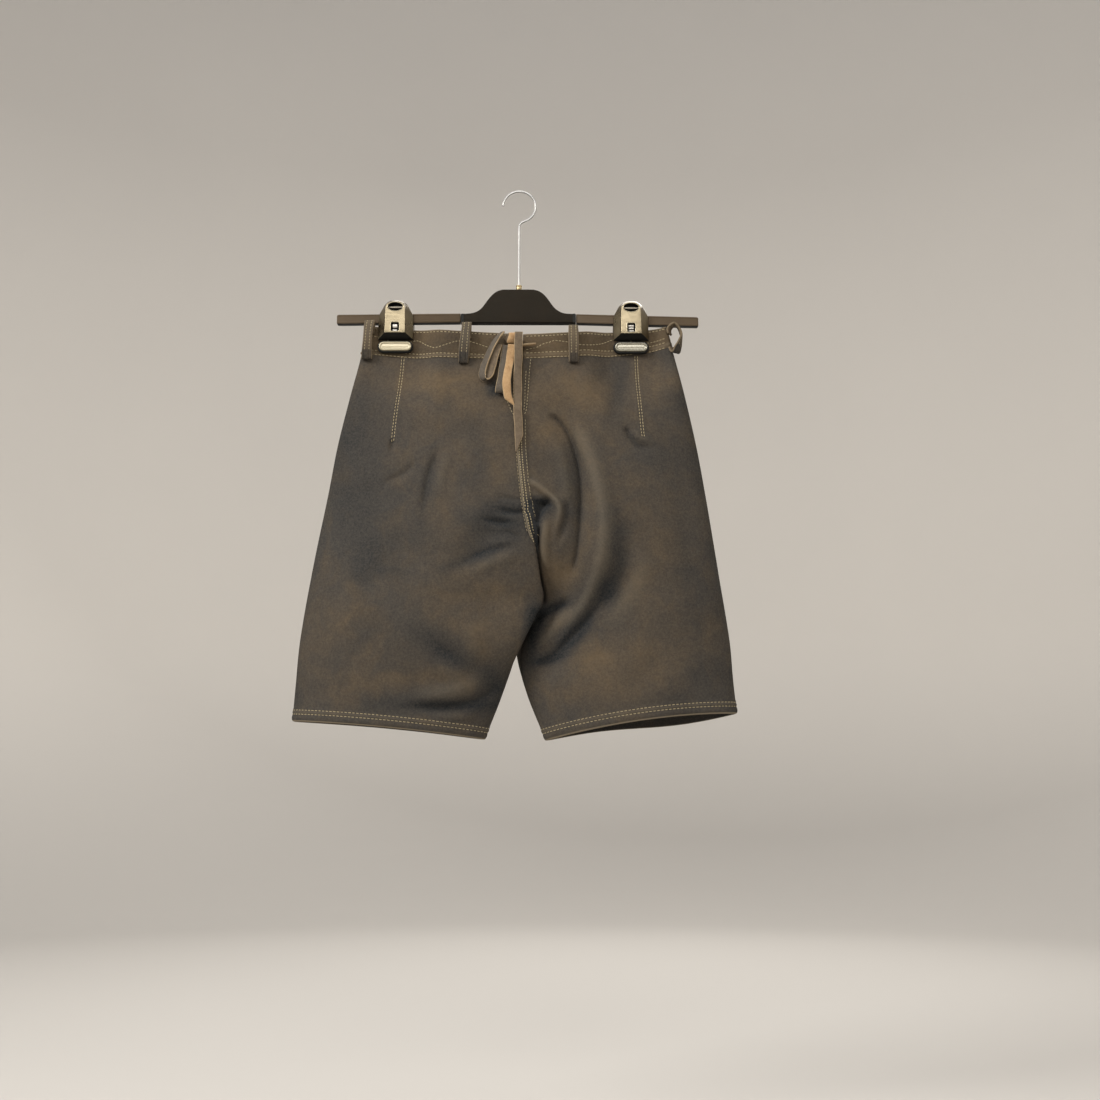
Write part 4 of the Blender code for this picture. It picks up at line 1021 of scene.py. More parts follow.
class Stitches:
    """Rows of short sewn stitches, gathered into one mesh."""

    def __init__(self, seed):
        self.points = []
        self.rng = np.random.default_rng(seed)

    def row(self, points, normals, tree=None, pitch=STITCH_PITCH, radius=STITCH_RADIUS, fill=0.76):
        points, normals = np.asarray(points, float), np.asarray(normals, float)
        reach = reach_of(points)
        count = int(reach[-1] / pitch)
        if count < 1:
            return
        at = np.linspace(0, reach[-1], 2 * count + 1)
        chain, out = resample(at, reach, points), resample(at, reach, normals)
        if tree is not None:
            chain = land(tree, chain, out)
        along = unit(chain[2::2] - chain[:-1:2])
        n = unit(out[1::2] - along * (out[1::2] * along).sum(axis=1, keepdims=True))
        b = np.cross(n, along)
        swing = self.rng.normal(0, 0.05, count)[:, None]
        along, b = along + b * swing, b - along * swing
        length = pitch * fill * self.rng.uniform(0.92, 1.08, count)
        centre = chain[1::2] + n * (0.35 * radius)
        cosines, sines = circle(STITCH_SIDES)
        for place, share, rise in STITCH_RINGS:
            mid = centre + along * (place * length)[:, None] + n * (rise * radius)
            ring = mid[:, None] + n[:, None] * (0.8 * share * radius * cosines)[None, :, None]
            ring = ring + b[:, None] * (1.1 * share * radius * sines)[None, :, None]
            self.points.append((count, ring))

    def finish(self, name):
        rings = len(STITCH_RINGS)
        points, faces, start = [], [], 0
        for k in range(0, len(self.points), rings):
            count = self.points[k][0]
            block = np.stack([self.points[k + r][1] for r in range(rings)], axis=1)
            points.append(block.reshape(-1, 3))
            pattern = []
            for r in range(rings - 1):
                for s in range(STITCH_SIDES):
                    a, b = r * STITCH_SIDES + s, r * STITCH_SIDES + (s + 1) % STITCH_SIDES
                    pattern.append((a, b, b + STITCH_SIDES, a + STITCH_SIDES))
            last = (rings - 1) * STITCH_SIDES
            caps = [tuple(reversed(range(STITCH_SIDES))), tuple(range(last, last + STITCH_SIDES))]
            size = rings * STITCH_SIDES
            for c in range(count):
                base = start + c * size
                faces += [tuple(base + i for i in f) for f in pattern + caps]
            start += count * size
        mesh = bpy.data.meshes.new(name)
        mesh.from_pydata((np.vstack(points) * MM).tolist(), [], faces)
        add_piece(name, mesh, (THREAD,))


# ---- the four leather panels ----
PANEL_COLUMNS = {"back": 136, "front": 104}
ROW_STEP = {"back": 2.2, "front": 2.8}
HEM_HEIGHT = 12.4
HEM_ROWS = (11.2, 7.0)
LAP_WIDTH = 5.2
LAP_TOP = -262.0
LAP_FOOT = -420.0
# Where the right panel's fold stands off the seam and leaves a gap, darkened with painted shadow.
GAP_TOP = -382.0
GAP_FOOT = -486.0
DARTS = {
    "left": ((-127, -192), (-129, -230), (-132, -266), (-134, -294)),
    "right": ((129, -192), (130, -230), (132, -262), (134, -290)),
}
SIDES = ("left", "right")
FACES = ("back", "front")
# The columns that the right back panel's lap adds past the seam line.
LAP_COLUMNS = 5
# How strongly the patches' warm and dark shares show.
WARM_GAIN = 1.35
DARK_GAIN = 1.15
SLIT_TOP = -197.0
# How much thicker the turned-up hem is on the inside.
HEM_FOLD = 1.6


def arc_table(side, face, row, samples=900):
    """us and the length along the row from the inner edge."""
    us = np.linspace(0, 1, samples)
    line = surface(side, face, np.full(samples, row), us, fine=False)
    return us, reach_of(line)


def panel_rows(face, step):
    """Rows a step apart down the panel, closer at the hem and at the waistband seam."""
    fine = np.linspace(1.0, HEM_ROW, 1200)
    heights = surface("right", face, fine, np.full(1200, 0.5), fine=False)[:, 2]
    drop = heights[0] - heights
    total = drop[-1]
    at = [0.0]
    while at[-1] < total - 0.01:
        left = total - at[-1]
        size = 0.8 if left < HEM_HEIGHT + 3 else (1.3 if at[-1] < 6 else step)
        at.append(min(total, at[-1] + size))
    return np.interp(at, drop, fine)


def slit_half(z, top_z):
    return SLIT_GAP / 2 * np.clip(1 - (top_z - z) / SLIT_DEPTH, 0, 1)


def lap_share(z):
    return smoothstep(LAP_TOP + 5, LAP_TOP - 3, z) * (1 - smoothstep(LAP_FOOT + 22, LAP_FOOT, z))


def hem_relief(d):
    """The turned-up hem: a step up below its upper stitches, a furrow under each row and a rolled foot."""
    step = 0.55 * (1 - smoothstep(HEM_HEIGHT - 0.4, HEM_HEIGHT + 0.9, d))
    furrows = sum(-0.42 * hill(d - row, 0.75) for row in HEM_ROWS)
    puff = 0.25 * hill(d - 9.1, 1.1) + 0.4 * hill(d - 3.6, 2.0)
    roll = -0.7 * (1 - smoothstep(0, 1.5, d))
    return step + furrows + puff + roll


def dart_relief(side, x, z):
    """A dart's seam: a fine furrow between two low welts, which fade at its foot."""
    distance, along, _ = line_field(DARTS[side], x, z)
    fade = 1 - smoothstep(0.86, 1.0, along)
    return fade * (0.4 * hill(distance - 2.6, 1.6) - 0.75 * hill(distance, 0.7))


def patch_fields(face, x, z):
    """How warm and how dark each point is, from the patches of dye and of painted shade."""
    warm = np.zeros(x.shape)
    dark = np.zeros(x.shape)
    for px, pz, rx, rz, lean, add_warm, add_dark in PATCHES[face]:
        a = math.radians(lean)
        dx, dz = x - px, z - pz
        u = (dx * math.cos(a) + dz * math.sin(a)) / rx
        v = (dz * math.cos(a) - dx * math.sin(a)) / rz
        weight = np.exp(-(u * u + v * v))
        warm += WARM_GAIN * add_warm * weight
        dark += DARK_GAIN * add_dark * weight
    return warm, dark


def panel_grid(side, face):
    """Mid-surface points, their rows, and each point's distance past the seam line."""
    rows = panel_rows(face, ROW_STEP[face])
    count = PANEL_COLUMNS[face]
    lapped = side == "right" and face == "back"
    samples = np.linspace(0, 1, 500)
    lines = surface(side, face, rows[:, None], samples[None, :], fine=False)
    arcs = reaches_of(lines)
    z_in = section(side, rows)["z_in"]
    start = HALF_GAP + CROTCH_EASE * np.clip(1 - np.abs(rows - CROTCH_ROW) / 1.2, 0, None)
    if face == "back":
        start = start + slit_half(z_in, SLIT_TOP)
    share = lap_share(z_in) if lapped else np.zeros(len(rows))
    start = start * (1 - share)
    past = start[:, None] + (arcs[:, -1] - HALF_GAP - start)[:, None] * np.linspace(0, 1, count)
    us = np.array([np.interp(past[i], arcs[i], samples) for i in range(len(rows))])
    grid = surface(side, face, np.broadcast_to(rows[:, None], us.shape), us)
    if not lapped:
        return grid, rows, past
    reach = LAP_WIDTH * share[:, None] * np.linspace(1, 0.12, LAP_COLUMNS)
    far_arcs = reaches_of(surface("left", face, rows[:, None], samples[None, :100], fine=False))
    far_us = np.array([np.interp(reach[i], far_arcs[i], samples[:100]) for i in range(len(rows))])
    over = surface("left", face, np.broadcast_to(rows[:, None], far_us.shape), far_us)
    flat = grid[:, :1] + (grid[:, :1] - grid[:, 1:2]) * np.linspace(0.05, 0.01, LAP_COLUMNS)[None, :, None]
    amount = share[:, None, None]
    lap = np.where(amount > 0.02, over * amount + flat * (1 - amount), flat)
    lap_past = np.where(share[:, None] > 0.02, -reach, past[:, :1])
    return np.concatenate([lap, grid], axis=1), rows, np.concatenate([lap_past, past], axis=1)


def build_panels():
    """The four panels, their normals eased into those of the panel that they are sewn to."""
    grids = {(side, face): panel_grid(side, face) for side in SIDES for face in FACES}
    normals = {key: normals_of(grids[key][0], outward(*key)) for key in grids}
    inner = {key: LAP_COLUMNS if key == ("right", "back") else 0 for key in grids}
    for face in FACES:
        for side in SIDES:
            grid, rows, past = grids[(side, face)]
            normal = normals[(side, face)]
            leg = (side, "front" if face == "back" else "back")
            beside = ("right" if side == "left" else "left", face)
            other = np.interp(rows, grids[leg][1], np.arange(len(grids[leg][1])))
            near = normals[leg][np.clip(other.round().astype(int), 0, None), 0]
            mate = np.where((rows > CROTCH_ROW)[:, None], near, normals[beside][:, inner[beside]])
            mean = unit(normal[:, inner[(side, face)]] + mate)
            weight = np.clip(1 - np.abs(past) / 4.0, 0, 1)[..., None]
            make_panel(side, face, grid, unit(normal * (1 - weight) + mean[:, None] * weight), past)


def make_panel(side, face, grid, normal, past):
    """One panel's leather, with the relief of its hem, seams and laps, and its dye and wear, with painted
    shade and painted highlight.
    """
    x, z = grid[..., 0], grid[..., 2]
    d_hem = z - z[-1:, :]
    relief = hem_relief(d_hem)
    shadow = 0.0
    wear_and_highlight = 0.75 * (1 - smoothstep(0.1, 1.0, d_hem)) + 0.12 * hill(d_hem - 9.1, 1.5)
    if face == "back":
        relief = relief + dart_relief(side, x, z)
        share = lap_share(z)
        if side == "right":
            relief = relief + share * 2.1 * (1 - smoothstep(1.0, 8.0, past))
            wear_and_highlight = wear_and_highlight + share * 0.5 * (1 - smoothstep(-LAP_WIDTH, -LAP_WIDTH + 1.4, past))
            gap = smoothstep(GAP_TOP, GAP_TOP - 12, z) * (1 - smoothstep(GAP_FOOT + 12, GAP_FOOT, z))
            relief = relief - 2.2 * gap * hill(past, 3.4)
            shadow = 0.95 * gap * hill(past, 3.0)
        else:
            relief = relief - share * 0.7 * (1 - smoothstep(0.0, 10.0, past))
        slit = smoothstep(LAP_TOP, LAP_TOP + 6, z) * (1 - smoothstep(0.0, 2.0, past))
        wear_and_highlight = wear_and_highlight + 0.2 * slit
    reach = np.linalg.norm(grid - grid[:, -1:], axis=-1)
    relief = relief - 0.5 * hill(reach, 1.2) + 0.25 * hill(reach - 3.4, 1.6)
    warm, dark = patch_fields(face, x, z)
    fold = crease_height(CREASES[(side, face)], x, z)
    # Darker in the creases' troughs (partly dye, partly painted shade) and along the side seam; painted shade
    # over a band along the sides below the seat, where they turn away; and the gap's painted shadow.
    dark = dark + np.clip(-fold - 0.4, 0, 6) * 0.11 + 0.3 * hill(reach, 2.5)
    dark = dark + 0.30 * (1 - smoothstep(0.0, 26.0, reach)) * smoothstep(-215.0, -250.0, z) + shadow
    # Paler along the creases' ridges: partly wear, partly painted highlight.
    wear_and_highlight = wear_and_highlight + np.clip(fold - 0.6, 0, 5) * 0.045
    half = LEATHER / 2
    outer = grid + normal * (half + relief)[..., None]
    thick = half + HEM_FOLD * (1 - smoothstep(HEM_HEIGHT, HEM_HEIGHT + 1.5, d_hem))
    name = f"{face}_{side}_leather"
    mesh = shell(name, outer, grid - normal * thick[..., None], outward(side, face) > 0)
    # The inside of the leather is darker: painted shade inside the garment.
    set_fields(mesh, {"warm": (warm, 0.0, 0.1), "dark": (dark, 0.45, 0.0), "wear_and_highlight": (wear_and_highlight, 0.0, 0.45)})
    PANELS[(side, face)] = add_piece(name, mesh, (LEATHER_SKIN,), f"{face}_{side}")


PANELS = {}
build_panels()

# ---- the waistband ----
BAND_STEP = 2.4
BAND_RISE = 0.3
BAND_LAP = {"left": 2.2, "right": 0.9}
# The rows' spacing where the band laps on the panels, and how far the lap stands off them.
LAP_ROW = 51.0
LAP_LIFT = 0.75
TOP_STITCH = 2.6
FOOT_STITCHES = (0.9, 5.0)
# The wavy row of stitches: its place in x and how far it lies below the band's top edge.
WAVES = {
    "left": (
        (-174, 17), (-162, 12), (-148, 14), (-135, 19), (-122, 16), (-111, 13), (-99, 19.3), (-90, 21.8),
        (-77, 17), (-67, 13.4), (-56, 12.7), (-49, 14.2), (-41, 16.7), (-34, 19.2), (-26, 19.6),
        (-14, 17.5), (-5, 16),
    ),
    "right": (
        (8, 16.5), (13, 15.7), (20, 14.5), (27, 11.4), (36, 9.3), (40, 8.3), (53, 10.5), (67, 14), (79, 14.6),
        (91, 12.5), (103, 8.5), (116, 9), (130, 14), (145, 15.8), (160, 15.3), (170, 15),
    ),
}


def band_height(side):
    return SECTIONS[side][0][0] - SECTIONS[side][1][0]


def band_rows(side, drop):
    """The section table's row at a drop below the band's top edge, past its foot where it laps."""
    height = band_height(side)
    return np.where(drop <= height, drop / height, 1 + (drop - height) / LAP_ROW)


def wave_drop(side, x):
    line = smooth_line(WAVES[side], 160)
    order = np.argsort(line[:, 0])
    return np.interp(x, line[order, 0], line[order, 1])


def band_relief(side, x, d_top, d_foot):
    """Rolled edges, and a furrow under each row of stitches with the leather full between them."""
    roll = -0.9 * (1 - smoothstep(0, 1.7, d_top)) - 0.8 * (1 - smoothstep(0, 1.2, d_foot))
    rows = (d_top - TOP_STITCH, *(d_foot - place for place in FOOT_STITCHES))
    furrow = -0.36 * sum(hill(distance, 0.8) for distance in rows)
    wave = -0.26 * hill(d_top - wave_drop(side, x), 0.9)
    full = 0.24 * hill(d_foot - 3.0, 1.2) + 0.2 * hill(d_top - 7.5, 4.0)
    uneven = 0.22 * np.sin(x / 9.0 + d_top / 7.0) * np.sin(x / 23.0 + 1.3)
    uneven = uneven + 0.16 * np.sin(x / 5.1 - d_top / 4.0)
    return BAND_RISE + roll + furrow + wave + full + uneven


def build_band(side):
    """One half of the waistband, round from the slit to the centre front, lapped over its panels."""
    height = band_height(side)
    lap = BAND_LAP[side]
    edges = (np.linspace(0, 4.5, 8), np.linspace(4.5, height - 7.0, 12)[1:])
    drops = np.concatenate([*edges, np.linspace(height - 7.0, height + lap, 14)[1:]])
    rows = band_rows(side, drops)
    samples = np.linspace(0, 1, 400)
    halves = []
    for face in FACES:
        count = int(arc_table(side, face, 0.5)[1][-1] / BAND_STEP)
        start = HALF_GAP + (SLIT_GAP / 2 if face == "back" else 0.0)
        arcs = reaches_of(surface(side, face, rows[:, None], samples[None, :], fine=False))
        us = np.array([np.interp(np.linspace(start, arc[-1], count), arc, samples) for arc in arcs])
        halves.append(surface(side, face, np.broadcast_to(rows[:, None], us.shape), us, fine=False))
    grid = np.concatenate([halves[0], halves[1][:, ::-1][:, 1:]], axis=1)
    normal = normals_of(grid, outward(side, "back"))
    x, z = grid[..., 0], grid[..., 2]
    d_top = np.broadcast_to(drops[:, None], x.shape)
    d_foot = height + lap - d_top
    relief = band_relief(side, x, d_top, d_foot)
    held = np.clip(pinch(x, z) * 1.2, 0, 1)
    relief = relief * (1 - held) + np.minimum(relief, 0.12) * held
    half = BAND_LEATHER / 2
    lapped = smoothstep(height - 0.6, height, d_top)
    outer = grid + normal * (half + relief + LAP_LIFT * lapped)[..., None]
    inner = grid - normal * (half - (half + LEATHER / 2 + 0.15) * lapped)[..., None]
    name = f"waistband_{side}"
    mesh = shell(f"{name}_leather", outer, inner, outward(side, "back") > 0)
    warm, dark = patch_fields("back", x, z)
    wear_and_highlight = 0.4 * (1 - smoothstep(0.2, 1.6, d_top)) + 0.3 * (1 - smoothstep(0.1, 1.0, d_foot))
    wear_and_highlight = wear_and_highlight + 0.16 * hill(d_foot - 3.0, 1.2)
    dark = dark * 0.5 + 0.25 * hill(d_top - TOP_STITCH, 0.9)
    # Darker along the top row of stitches; the band's inside is darker too, as painted shade inside the
    # garment.
    set_fields(mesh, {"warm": (warm + 0.25, 0.1, 0.3), "dark": (dark, 0.4, 0.1), "wear_and_highlight": (wear_and_highlight, 0.0, 0.3)})
    return add_piece(f"{name}_leather", mesh, (BAND_SKIN,), name)


BANDS = {side: build_band(side) for side in SIDES}


def band_path(side, face, x, drop):
    """Points and normals on a waistband's face at places in x, a drop below its top edge."""
    x = np.asarray(x, float)
    row = band_rows(side, np.broadcast_to(np.asarray(drop, float), x.shape))
    s = section(side, row)
    t = np.clip((x - s["x_in"]) / (s["x_side"] - s["x_in"]), 0, 1)
    return on_surface(side, face, row, np.arccos(1 - 2 * t) / np.pi)


def ring_xs(side, low, high):
    """Places in x round one face of the band, from one share of its width to another."""
    us = np.linspace(0, 1, 400)
    s = section(side, np.array(0.5))
    t = 0.5 - 0.5 * np.cos(np.pi * us)
    x = s["x_in"] + (s["x_side"] - s["x_in"]) * t
    keep = (t >= low) & (t <= high)
    return x[keep]


def stitch_bands():
    for side in SIDES:
        work = Stitches(11 if side == "left" else 12)
        tree = tree_of(BANDS[side])
        height = band_height(side) + BAND_LAP[side]
        for face in FACES:
            xs = ring_xs(side, 0.02, 0.985)
            for drop in (TOP_STITCH, *(height - place for place in FOOT_STITCHES)):
                work.row(*band_path(side, face, xs, drop), tree)
            work.row(*band_path(side, face, xs, wave_drop(side, xs)), tree, pitch=3.7)
        work.finish(f"waistband_{side}_stitches")


stitch_bands()

# ---- strips of leather: a line, the way its width points, and a rounded section round it ----
# Each point of a section: share across, share of the thickness, and what it shows (0 face, 1 cut, 2 back).
PLAIN_SECTION = (
    (-0.5, 0.0, 1), (-0.49, 0.34, 1), (-0.44, 0.5, 0), (-0.22, 0.54, 0), (0.0, 0.55, 0), (0.22, 0.54, 0),
    (0.44, 0.5, 0), (0.49, 0.34, 1), (0.5, 0.0, 1), (0.49, -0.34, 1), (0.44, -0.5, 2), (0.15, -0.52, 2),
    (-0.15, -0.52, 2), (-0.44, -0.5, 2), (-0.49, -0.34, 1),
)
LOOP_SECTION = (
    (-0.5, 0.0, 1), (-0.49, 0.3, 1), (-0.45, 0.48, 0), (-0.36, 0.58, 0), (-0.28, 0.5, 0), (-0.23, 0.32, 0),
    (-0.18, 0.5, 0), (-0.08, 0.6, 0), (0.0, 0.5, 0), (0.08, 0.6, 0), (0.18, 0.5, 0), (0.23, 0.32, 0),
    (0.28, 0.5, 0), (0.36, 0.58, 0), (0.45, 0.48, 0), (0.49, 0.3, 1), (0.5, 0.0, 1), (0.49, -0.34, 1),
    (0.44, -0.5, 2), (0.15, -0.52, 2), (-0.15, -0.52, 2), (-0.44, -0.5, 2), (-0.49, -0.34, 1),
)
# A loop's two rows of stitches: their share of its width, and the stretch of its line that they run along.
LOOP_ROW = 0.23
LOOP_RUN = slice(20, 72)


def frames_of(line, ways):
    """The directions across a line and out of it, from the way its width points."""
    along = unit(np.gradient(line, axis=0))
    wide = unit(ways - along * (ways * along).sum(axis=1, keepdims=True))
    return wide, np.cross(along, wide)


def strip(name, line, ways, low, high, thickness, outline, skins, node, shade=None):
    """A strip whose edges lie at low and high millimetres across its line, with one skin per shown side."""
    wide, thick = frames_of(line, ways)
    around = len(outline)
    across, height, shown = (np.array(column) for column in zip(*outline))
    span = low[:, None] + (high - low)[:, None] * (across + 0.5)
    thin = np.clip((high - low) / 3.0, 0.35, 1.0)[:, None]
    points = line[:, None] + wide[:, None] * span[..., None]
    points = points + thick[:, None] * (thickness * height[None, :] * thin)[..., None]
    faces = loft(points)[1]
    cut = (shown == 1) | (np.roll(shown, -1) == 1)
    kinds = np.concatenate([np.tile(np.where(cut, 1, shown), len(line) - 1), (1, 1)])
    mesh = mesh_from(name, points, faces)
    obj = add_piece(name, mesh, skins, node)
    mesh.polygons.foreach_set("material_index", kinds.astype(np.int32))
    for key, values in (shade or {}).items():
        set_attribute(mesh, key, np.repeat(values, around))
    return obj


def loop_ways(side, face, turns):
    """The level ways out that a loop faces, from its turns in degrees."""
    angles = np.radians(turns)
    x = np.sin(angles) * (1 if side == "right" else -1)
    y = np.cos(angles) * (-1 if face == "back" else 1)
    return np.stack([x, y, np.zeros_like(x)], axis=-1)


def share_to_u(share):
    return math.acos(1 - 2 * share) / math.pi


def build_loops():
    work = Stitches(31)
    for index, (name, row) in enumerate(LOOPS.items()):
        side, face, top_share, foot_share, bulge, rise, turn, twist = row
        top = surface(side, face, BAND_TOP_ROW, share_to_u(top_share), fine=False)
        foot = surface(side, face, BAND_SEAM_ROW, share_to_u(foot_share), fine=False)
        clear = BAND_LEATHER / 2 + LOOP_LEATHER / 2 + 0.3
        knots = []
        for share, part, up, twisted in LOOP_LINE:
            z = foot[2] + up if part == "seam" else top[2] + (rise * up if part == "rise" else up)
            down = (top[2] - z) / (top[2] - foot[2])
            facing = turn - twist * twisted
            reach = clear + share * bulge + LEAN_OUT * max(0.0, down - 1)
            place = top + (foot - top) * down + loop_ways(side, face, facing) * reach
            knots.append((place[0], place[1], z, facing))
        sampled = smooth_line(knots, 96)
        line = sampled[:, :3]
        steps = np.linspace(0, 1, len(line))
        out = loop_ways(side, face, sampled[:, 3])
        ways = np.cross([0, 0, 1.0], out) + out * (0.05 * np.sin(steps * 5 + index))[:, None]
        half = LOOP_WIDTH / 2 - 0.25 + 0.35 * np.sin(steps * 9 + index * 1.7)
        # Painted shadow on the loop's lower turn and painted light over its upper run; the warm share is the
        # loop's own tone.
        shade = {
            "dark": 0.5 * smoothstep(0.70, 0.76, steps),
            "warm": np.full(len(line), 0.42),
            "wear_and_highlight": 0.12 * (1 - smoothstep(0.5, 0.7, steps)),
        }
        skins = (LEATHER_SKIN, STRAP_SKINS["dyed_edge"], STRAP_SKINS["lace_umber"])
        strip(f"belt_loop_{name}_leather", line, ways, -half, half, LOOP_LEATHER * 0.92, LOOP_SECTION, skins,
              f"belt_loop_{name}", shade)
        across, thick = frames_of(line, ways)
        for place in (-LOOP_ROW, LOOP_ROW):
            path = line[LOOP_RUN] + across[LOOP_RUN] * (place * 2 * half[LOOP_RUN])[:, None]
            path = path + thick[LOOP_RUN] * (LOOP_LEATHER * 0.3)
            work.row(path, thick[LOOP_RUN], pitch=3.2, fill=0.74)
    work.finish("belt_loop_stitches")


build_loops()

# ---- the lacing: four free laces, what crosses the slit, and the knot ----
LACE_POINTS = {"loop_near": 96, "loop_far": 96, "tail_short": 72, "tail_long": 124}
# The skins of each lace: the side it turns to the viewer first, its cut edges, and its other side.
LACE_LOOK = {
    "loop_near": ("lace_slate", "cut_edge", "lace_umber"),
    "loop_far": ("lace_slate", "cut_edge", "lace_umber"),
    "tail_short": ("flesh_side", "cut_edge", "lace_slate"),
    "tail_long": ("lace_umber", "cut_edge", "flesh_side"),
    "cross": ("flesh_side", "cut_edge", "flesh_side"),
    "knot": ("flesh_side", "cut_edge", "lace_umber"),
}
# The slanted ends: how long the cut is, and the share of the width at which each edge ends.
LACE_CUTS = {"tail_short": (10.0, 0.42, 0.5), "tail_long": (17.0, -0.5, -0.36)}
# The knot's wrap is a band of lace bent round in this many steps; the roots inside it are a crumpled bead.
KNOT_TURNS = 48
KNOT_BAND = 8.4
ROOT_RINGS = 12
ROOT_SIDES = 16


def lace_frame(rows, count):
    sampled = smooth_line(rows, count)
    turn = np.radians(sampled[:, 3])
    ways = np.stack([np.cos(turn), -np.sin(turn), np.zeros(count)], axis=1)
    return sampled[:, :3], ways


def lace_edges(name, line, width):
    """Where each edge lies across the lace, with its slanted end and a cutter's slight unevenness."""
    reach = reach_of(line)
    left = reach[-1] - reach
    uneven = 0.22 * np.sin(reach / 6.3 + len(name)) + 0.14 * np.sin(reach / 2.7)
    low = np.full(len(line), -width / 2) + uneven
    high = np.full(len(line), width / 2) + 0.7 * uneven[::-1]
    if name in LACE_CUTS:
        size, low_end, high_end = LACE_CUTS[name]
        near = np.clip(1 - left / size, 0, 1)
        low = low * (1 - near) + low_end * width * near
        high = high * (1 - near) + high_end * width * near
    return low, high


def lace_strip(name, line, ways, low, high):
    skins = [STRAP_SKINS[key] for key in LACE_LOOK[name]]
    return strip(f"lace_{name}_strip", line, ways, low, high, LACE_LEATHER, PLAIN_SECTION, skins,
                 f"lace_{name}")


def build_laces():
    for name, rows in LACES.items():
        line, ways = lace_frame(rows, LACE_POINTS[name])
        lace_strip(name, line, ways, *lace_edges(name, line, LACE_WIDTH))
    cross = build_cross()
    knot = build_knot()


def build_cross():
    line, ways = lace_frame(CROSS_LACE, 24)
    share = np.linspace(0, 1, 24)
    half = CROSS_WIDTH / 2 * (1 - 0.5 * smoothstep(0.6, 1.0, share))
    return lace_strip("cross", line, ways, -half, half)


def build_knot():
    """A turn of lace round the middle of the bow, with the laces' crumpled roots inside it."""
    cx, cy, cz = KNOT_CENTRE
    half_high, half_deep = KNOT_SIZE[2] / 2 - 1.2, KNOT_SIZE[1] / 2 - 0.9
    across, height, shown = (np.array(column) for column in zip(*PLAIN_SECTION))
    radius = 1.0 + 0.16 * height
    rings = []
    for angle in np.linspace(0, 2 * math.pi, KNOT_TURNS + 1):
        sine, cosine = math.sin(angle), math.cos(angle)
        x = cx + 1.8 + KNOT_BAND * across + 0.7258 * sine + 0.6 * math.sin(2 * angle)
        y = cy - cosine * (half_deep * radius + 0.9 * height)
        z = cz + sine * (half_high * radius + 0.9 * height) + 1.76 * across * cosine
        rings.append(np.stack([x, y, z], axis=1))
    wrap, wrap_faces = loft(rings, closed=False)
    last = KNOT_TURNS * len(across)
    wrap_faces = [[i - last if i >= last else i for i in face] for face in wrap_faces]
    cut = (shown == 1) | (np.roll(shown, -1) == 1)
    cosines, sines = circle(ROOT_SIDES)
    angles = np.linspace(0, 2 * math.pi, ROOT_SIDES, endpoint=False)
    rings = []
    for share in np.linspace(0, 1, ROOT_RINGS + 1):
        size = math.sin(math.pi * min(0.97, max(0.03, share))) ** 0.5
        crumple = size * (1 + 0.16 * np.sin(3 * angles + 5 * share) + 0.1 * np.sin(5 * angles - 9 * share))
        x = np.full(ROOT_SIDES, cx - 6.6 + 13.0 * share)
        rings.append(np.stack([x, cy + 2.3 * crumple * cosines, cz + 4.9 * crumple * sines], axis=1))
    root, root_faces = loft(rings)
    faces = wrap_faces + [[last + i for i in face] for face in root_faces]
    mesh = faces_out(mesh_from("lace_knot_wrap", np.vstack([wrap[:last], root]), faces))
    skins = [STRAP_SKINS[key] for key in LACE_LOOK["knot"]]
    obj = add_piece("lace_knot_wrap", mesh, skins, "lace_knot")
    kinds = np.concatenate([np.tile(cut, KNOT_TURNS), np.full(len(root_faces), 2)])
    mesh.polygons.foreach_set("material_index", kinds.astype(np.int32))
    return obj


build_laces()

# ---- the stitched seams of the four panels ----
# The seat seam's rows: how far past the seam line, the panel it is measured on, the thread's radius and
# pitch, and the height at its foot.
SEAM_ROWS = (
    (7.0, "left", 0.26, 3.7, -396.0), (3.7, "left", 0.5, 2.8, -407.0), (0.9, "left", 0.5, 2.8, -409.0),
    (3.4, "right", 0.26, 3.7, -380.0),
)
SEAM_TOP = -272.0
# The slit's stitches, as places in x and z: down its right edge and round its foot, and down its left facing.
SLIT_ROWS = {
    "right": (
        ((13.5, -200), (12, -217), (11, -236), (10, -249), (9, -261), (7.0, -267)),
        ((8.5, -214), (7.5, -234), (7.4, -249), (6.4, -262)),
    ),
    "left": (
        ((-4, -200), (-4.6, -218), (-5, -236), (-5, -250)),
        ((-16, -240), (-11, -252), (-6, -264), (-1, -270)),
    ),
}
HEM_INSET = 0.012


def seam_place(side, face, past, z_line):
    """Points and normals a set way past the inner edge, measured along each row, at given heights there."""
    rows = np.linspace(1.0, CROTCH_ROW, 260)
    heights = surface(side, face, rows, np.zeros(260), fine=False)[:, 2]
    at = np.interp(-np.asarray(z_line, float), -heights, rows)
    us = []
    for row in at:
        u, arc = arc_table(side, face, row, 300)
        us.append(np.interp(past, arc, u))
    return on_surface(side, face, at, np.array(us))


def hem_place(side, face, up, low=HEM_INSET, high=1 - HEM_INSET):
    """A line round one panel's hem, a set height above its edge."""
    us = np.linspace(low, high, 240)
    rows = np.linspace(HEM_ROW - 0.8, HEM_ROW, 60)
    grid = surface(side, face, rows[:, None], us[None, :], fine=False)
    want = grid[-1, :, 2] + up
    at = np.array([np.interp(-want[k], -grid[:, k, 2], rows) for k in range(len(us))])
    return on_surface(side, face, at, us)


def stitch_hems():
    for side in SIDES:
        work = Stitches(21 if side == "left" else 22)
        for face in FACES:
            tree = tree_of(PANELS[(side, face)])
            for up in HEM_ROWS:
                work.row(*hem_place(side, face, up), tree)
        work.finish(f"hem_{side}_stitches")


def flat_place(side, face, line, count=80):
    """Points and normals along a line placed in x and z."""
    path = smooth_line(line, count)
    return on_surface(side, face, *locate(side, face, path[:, 0], path[:, 1]))


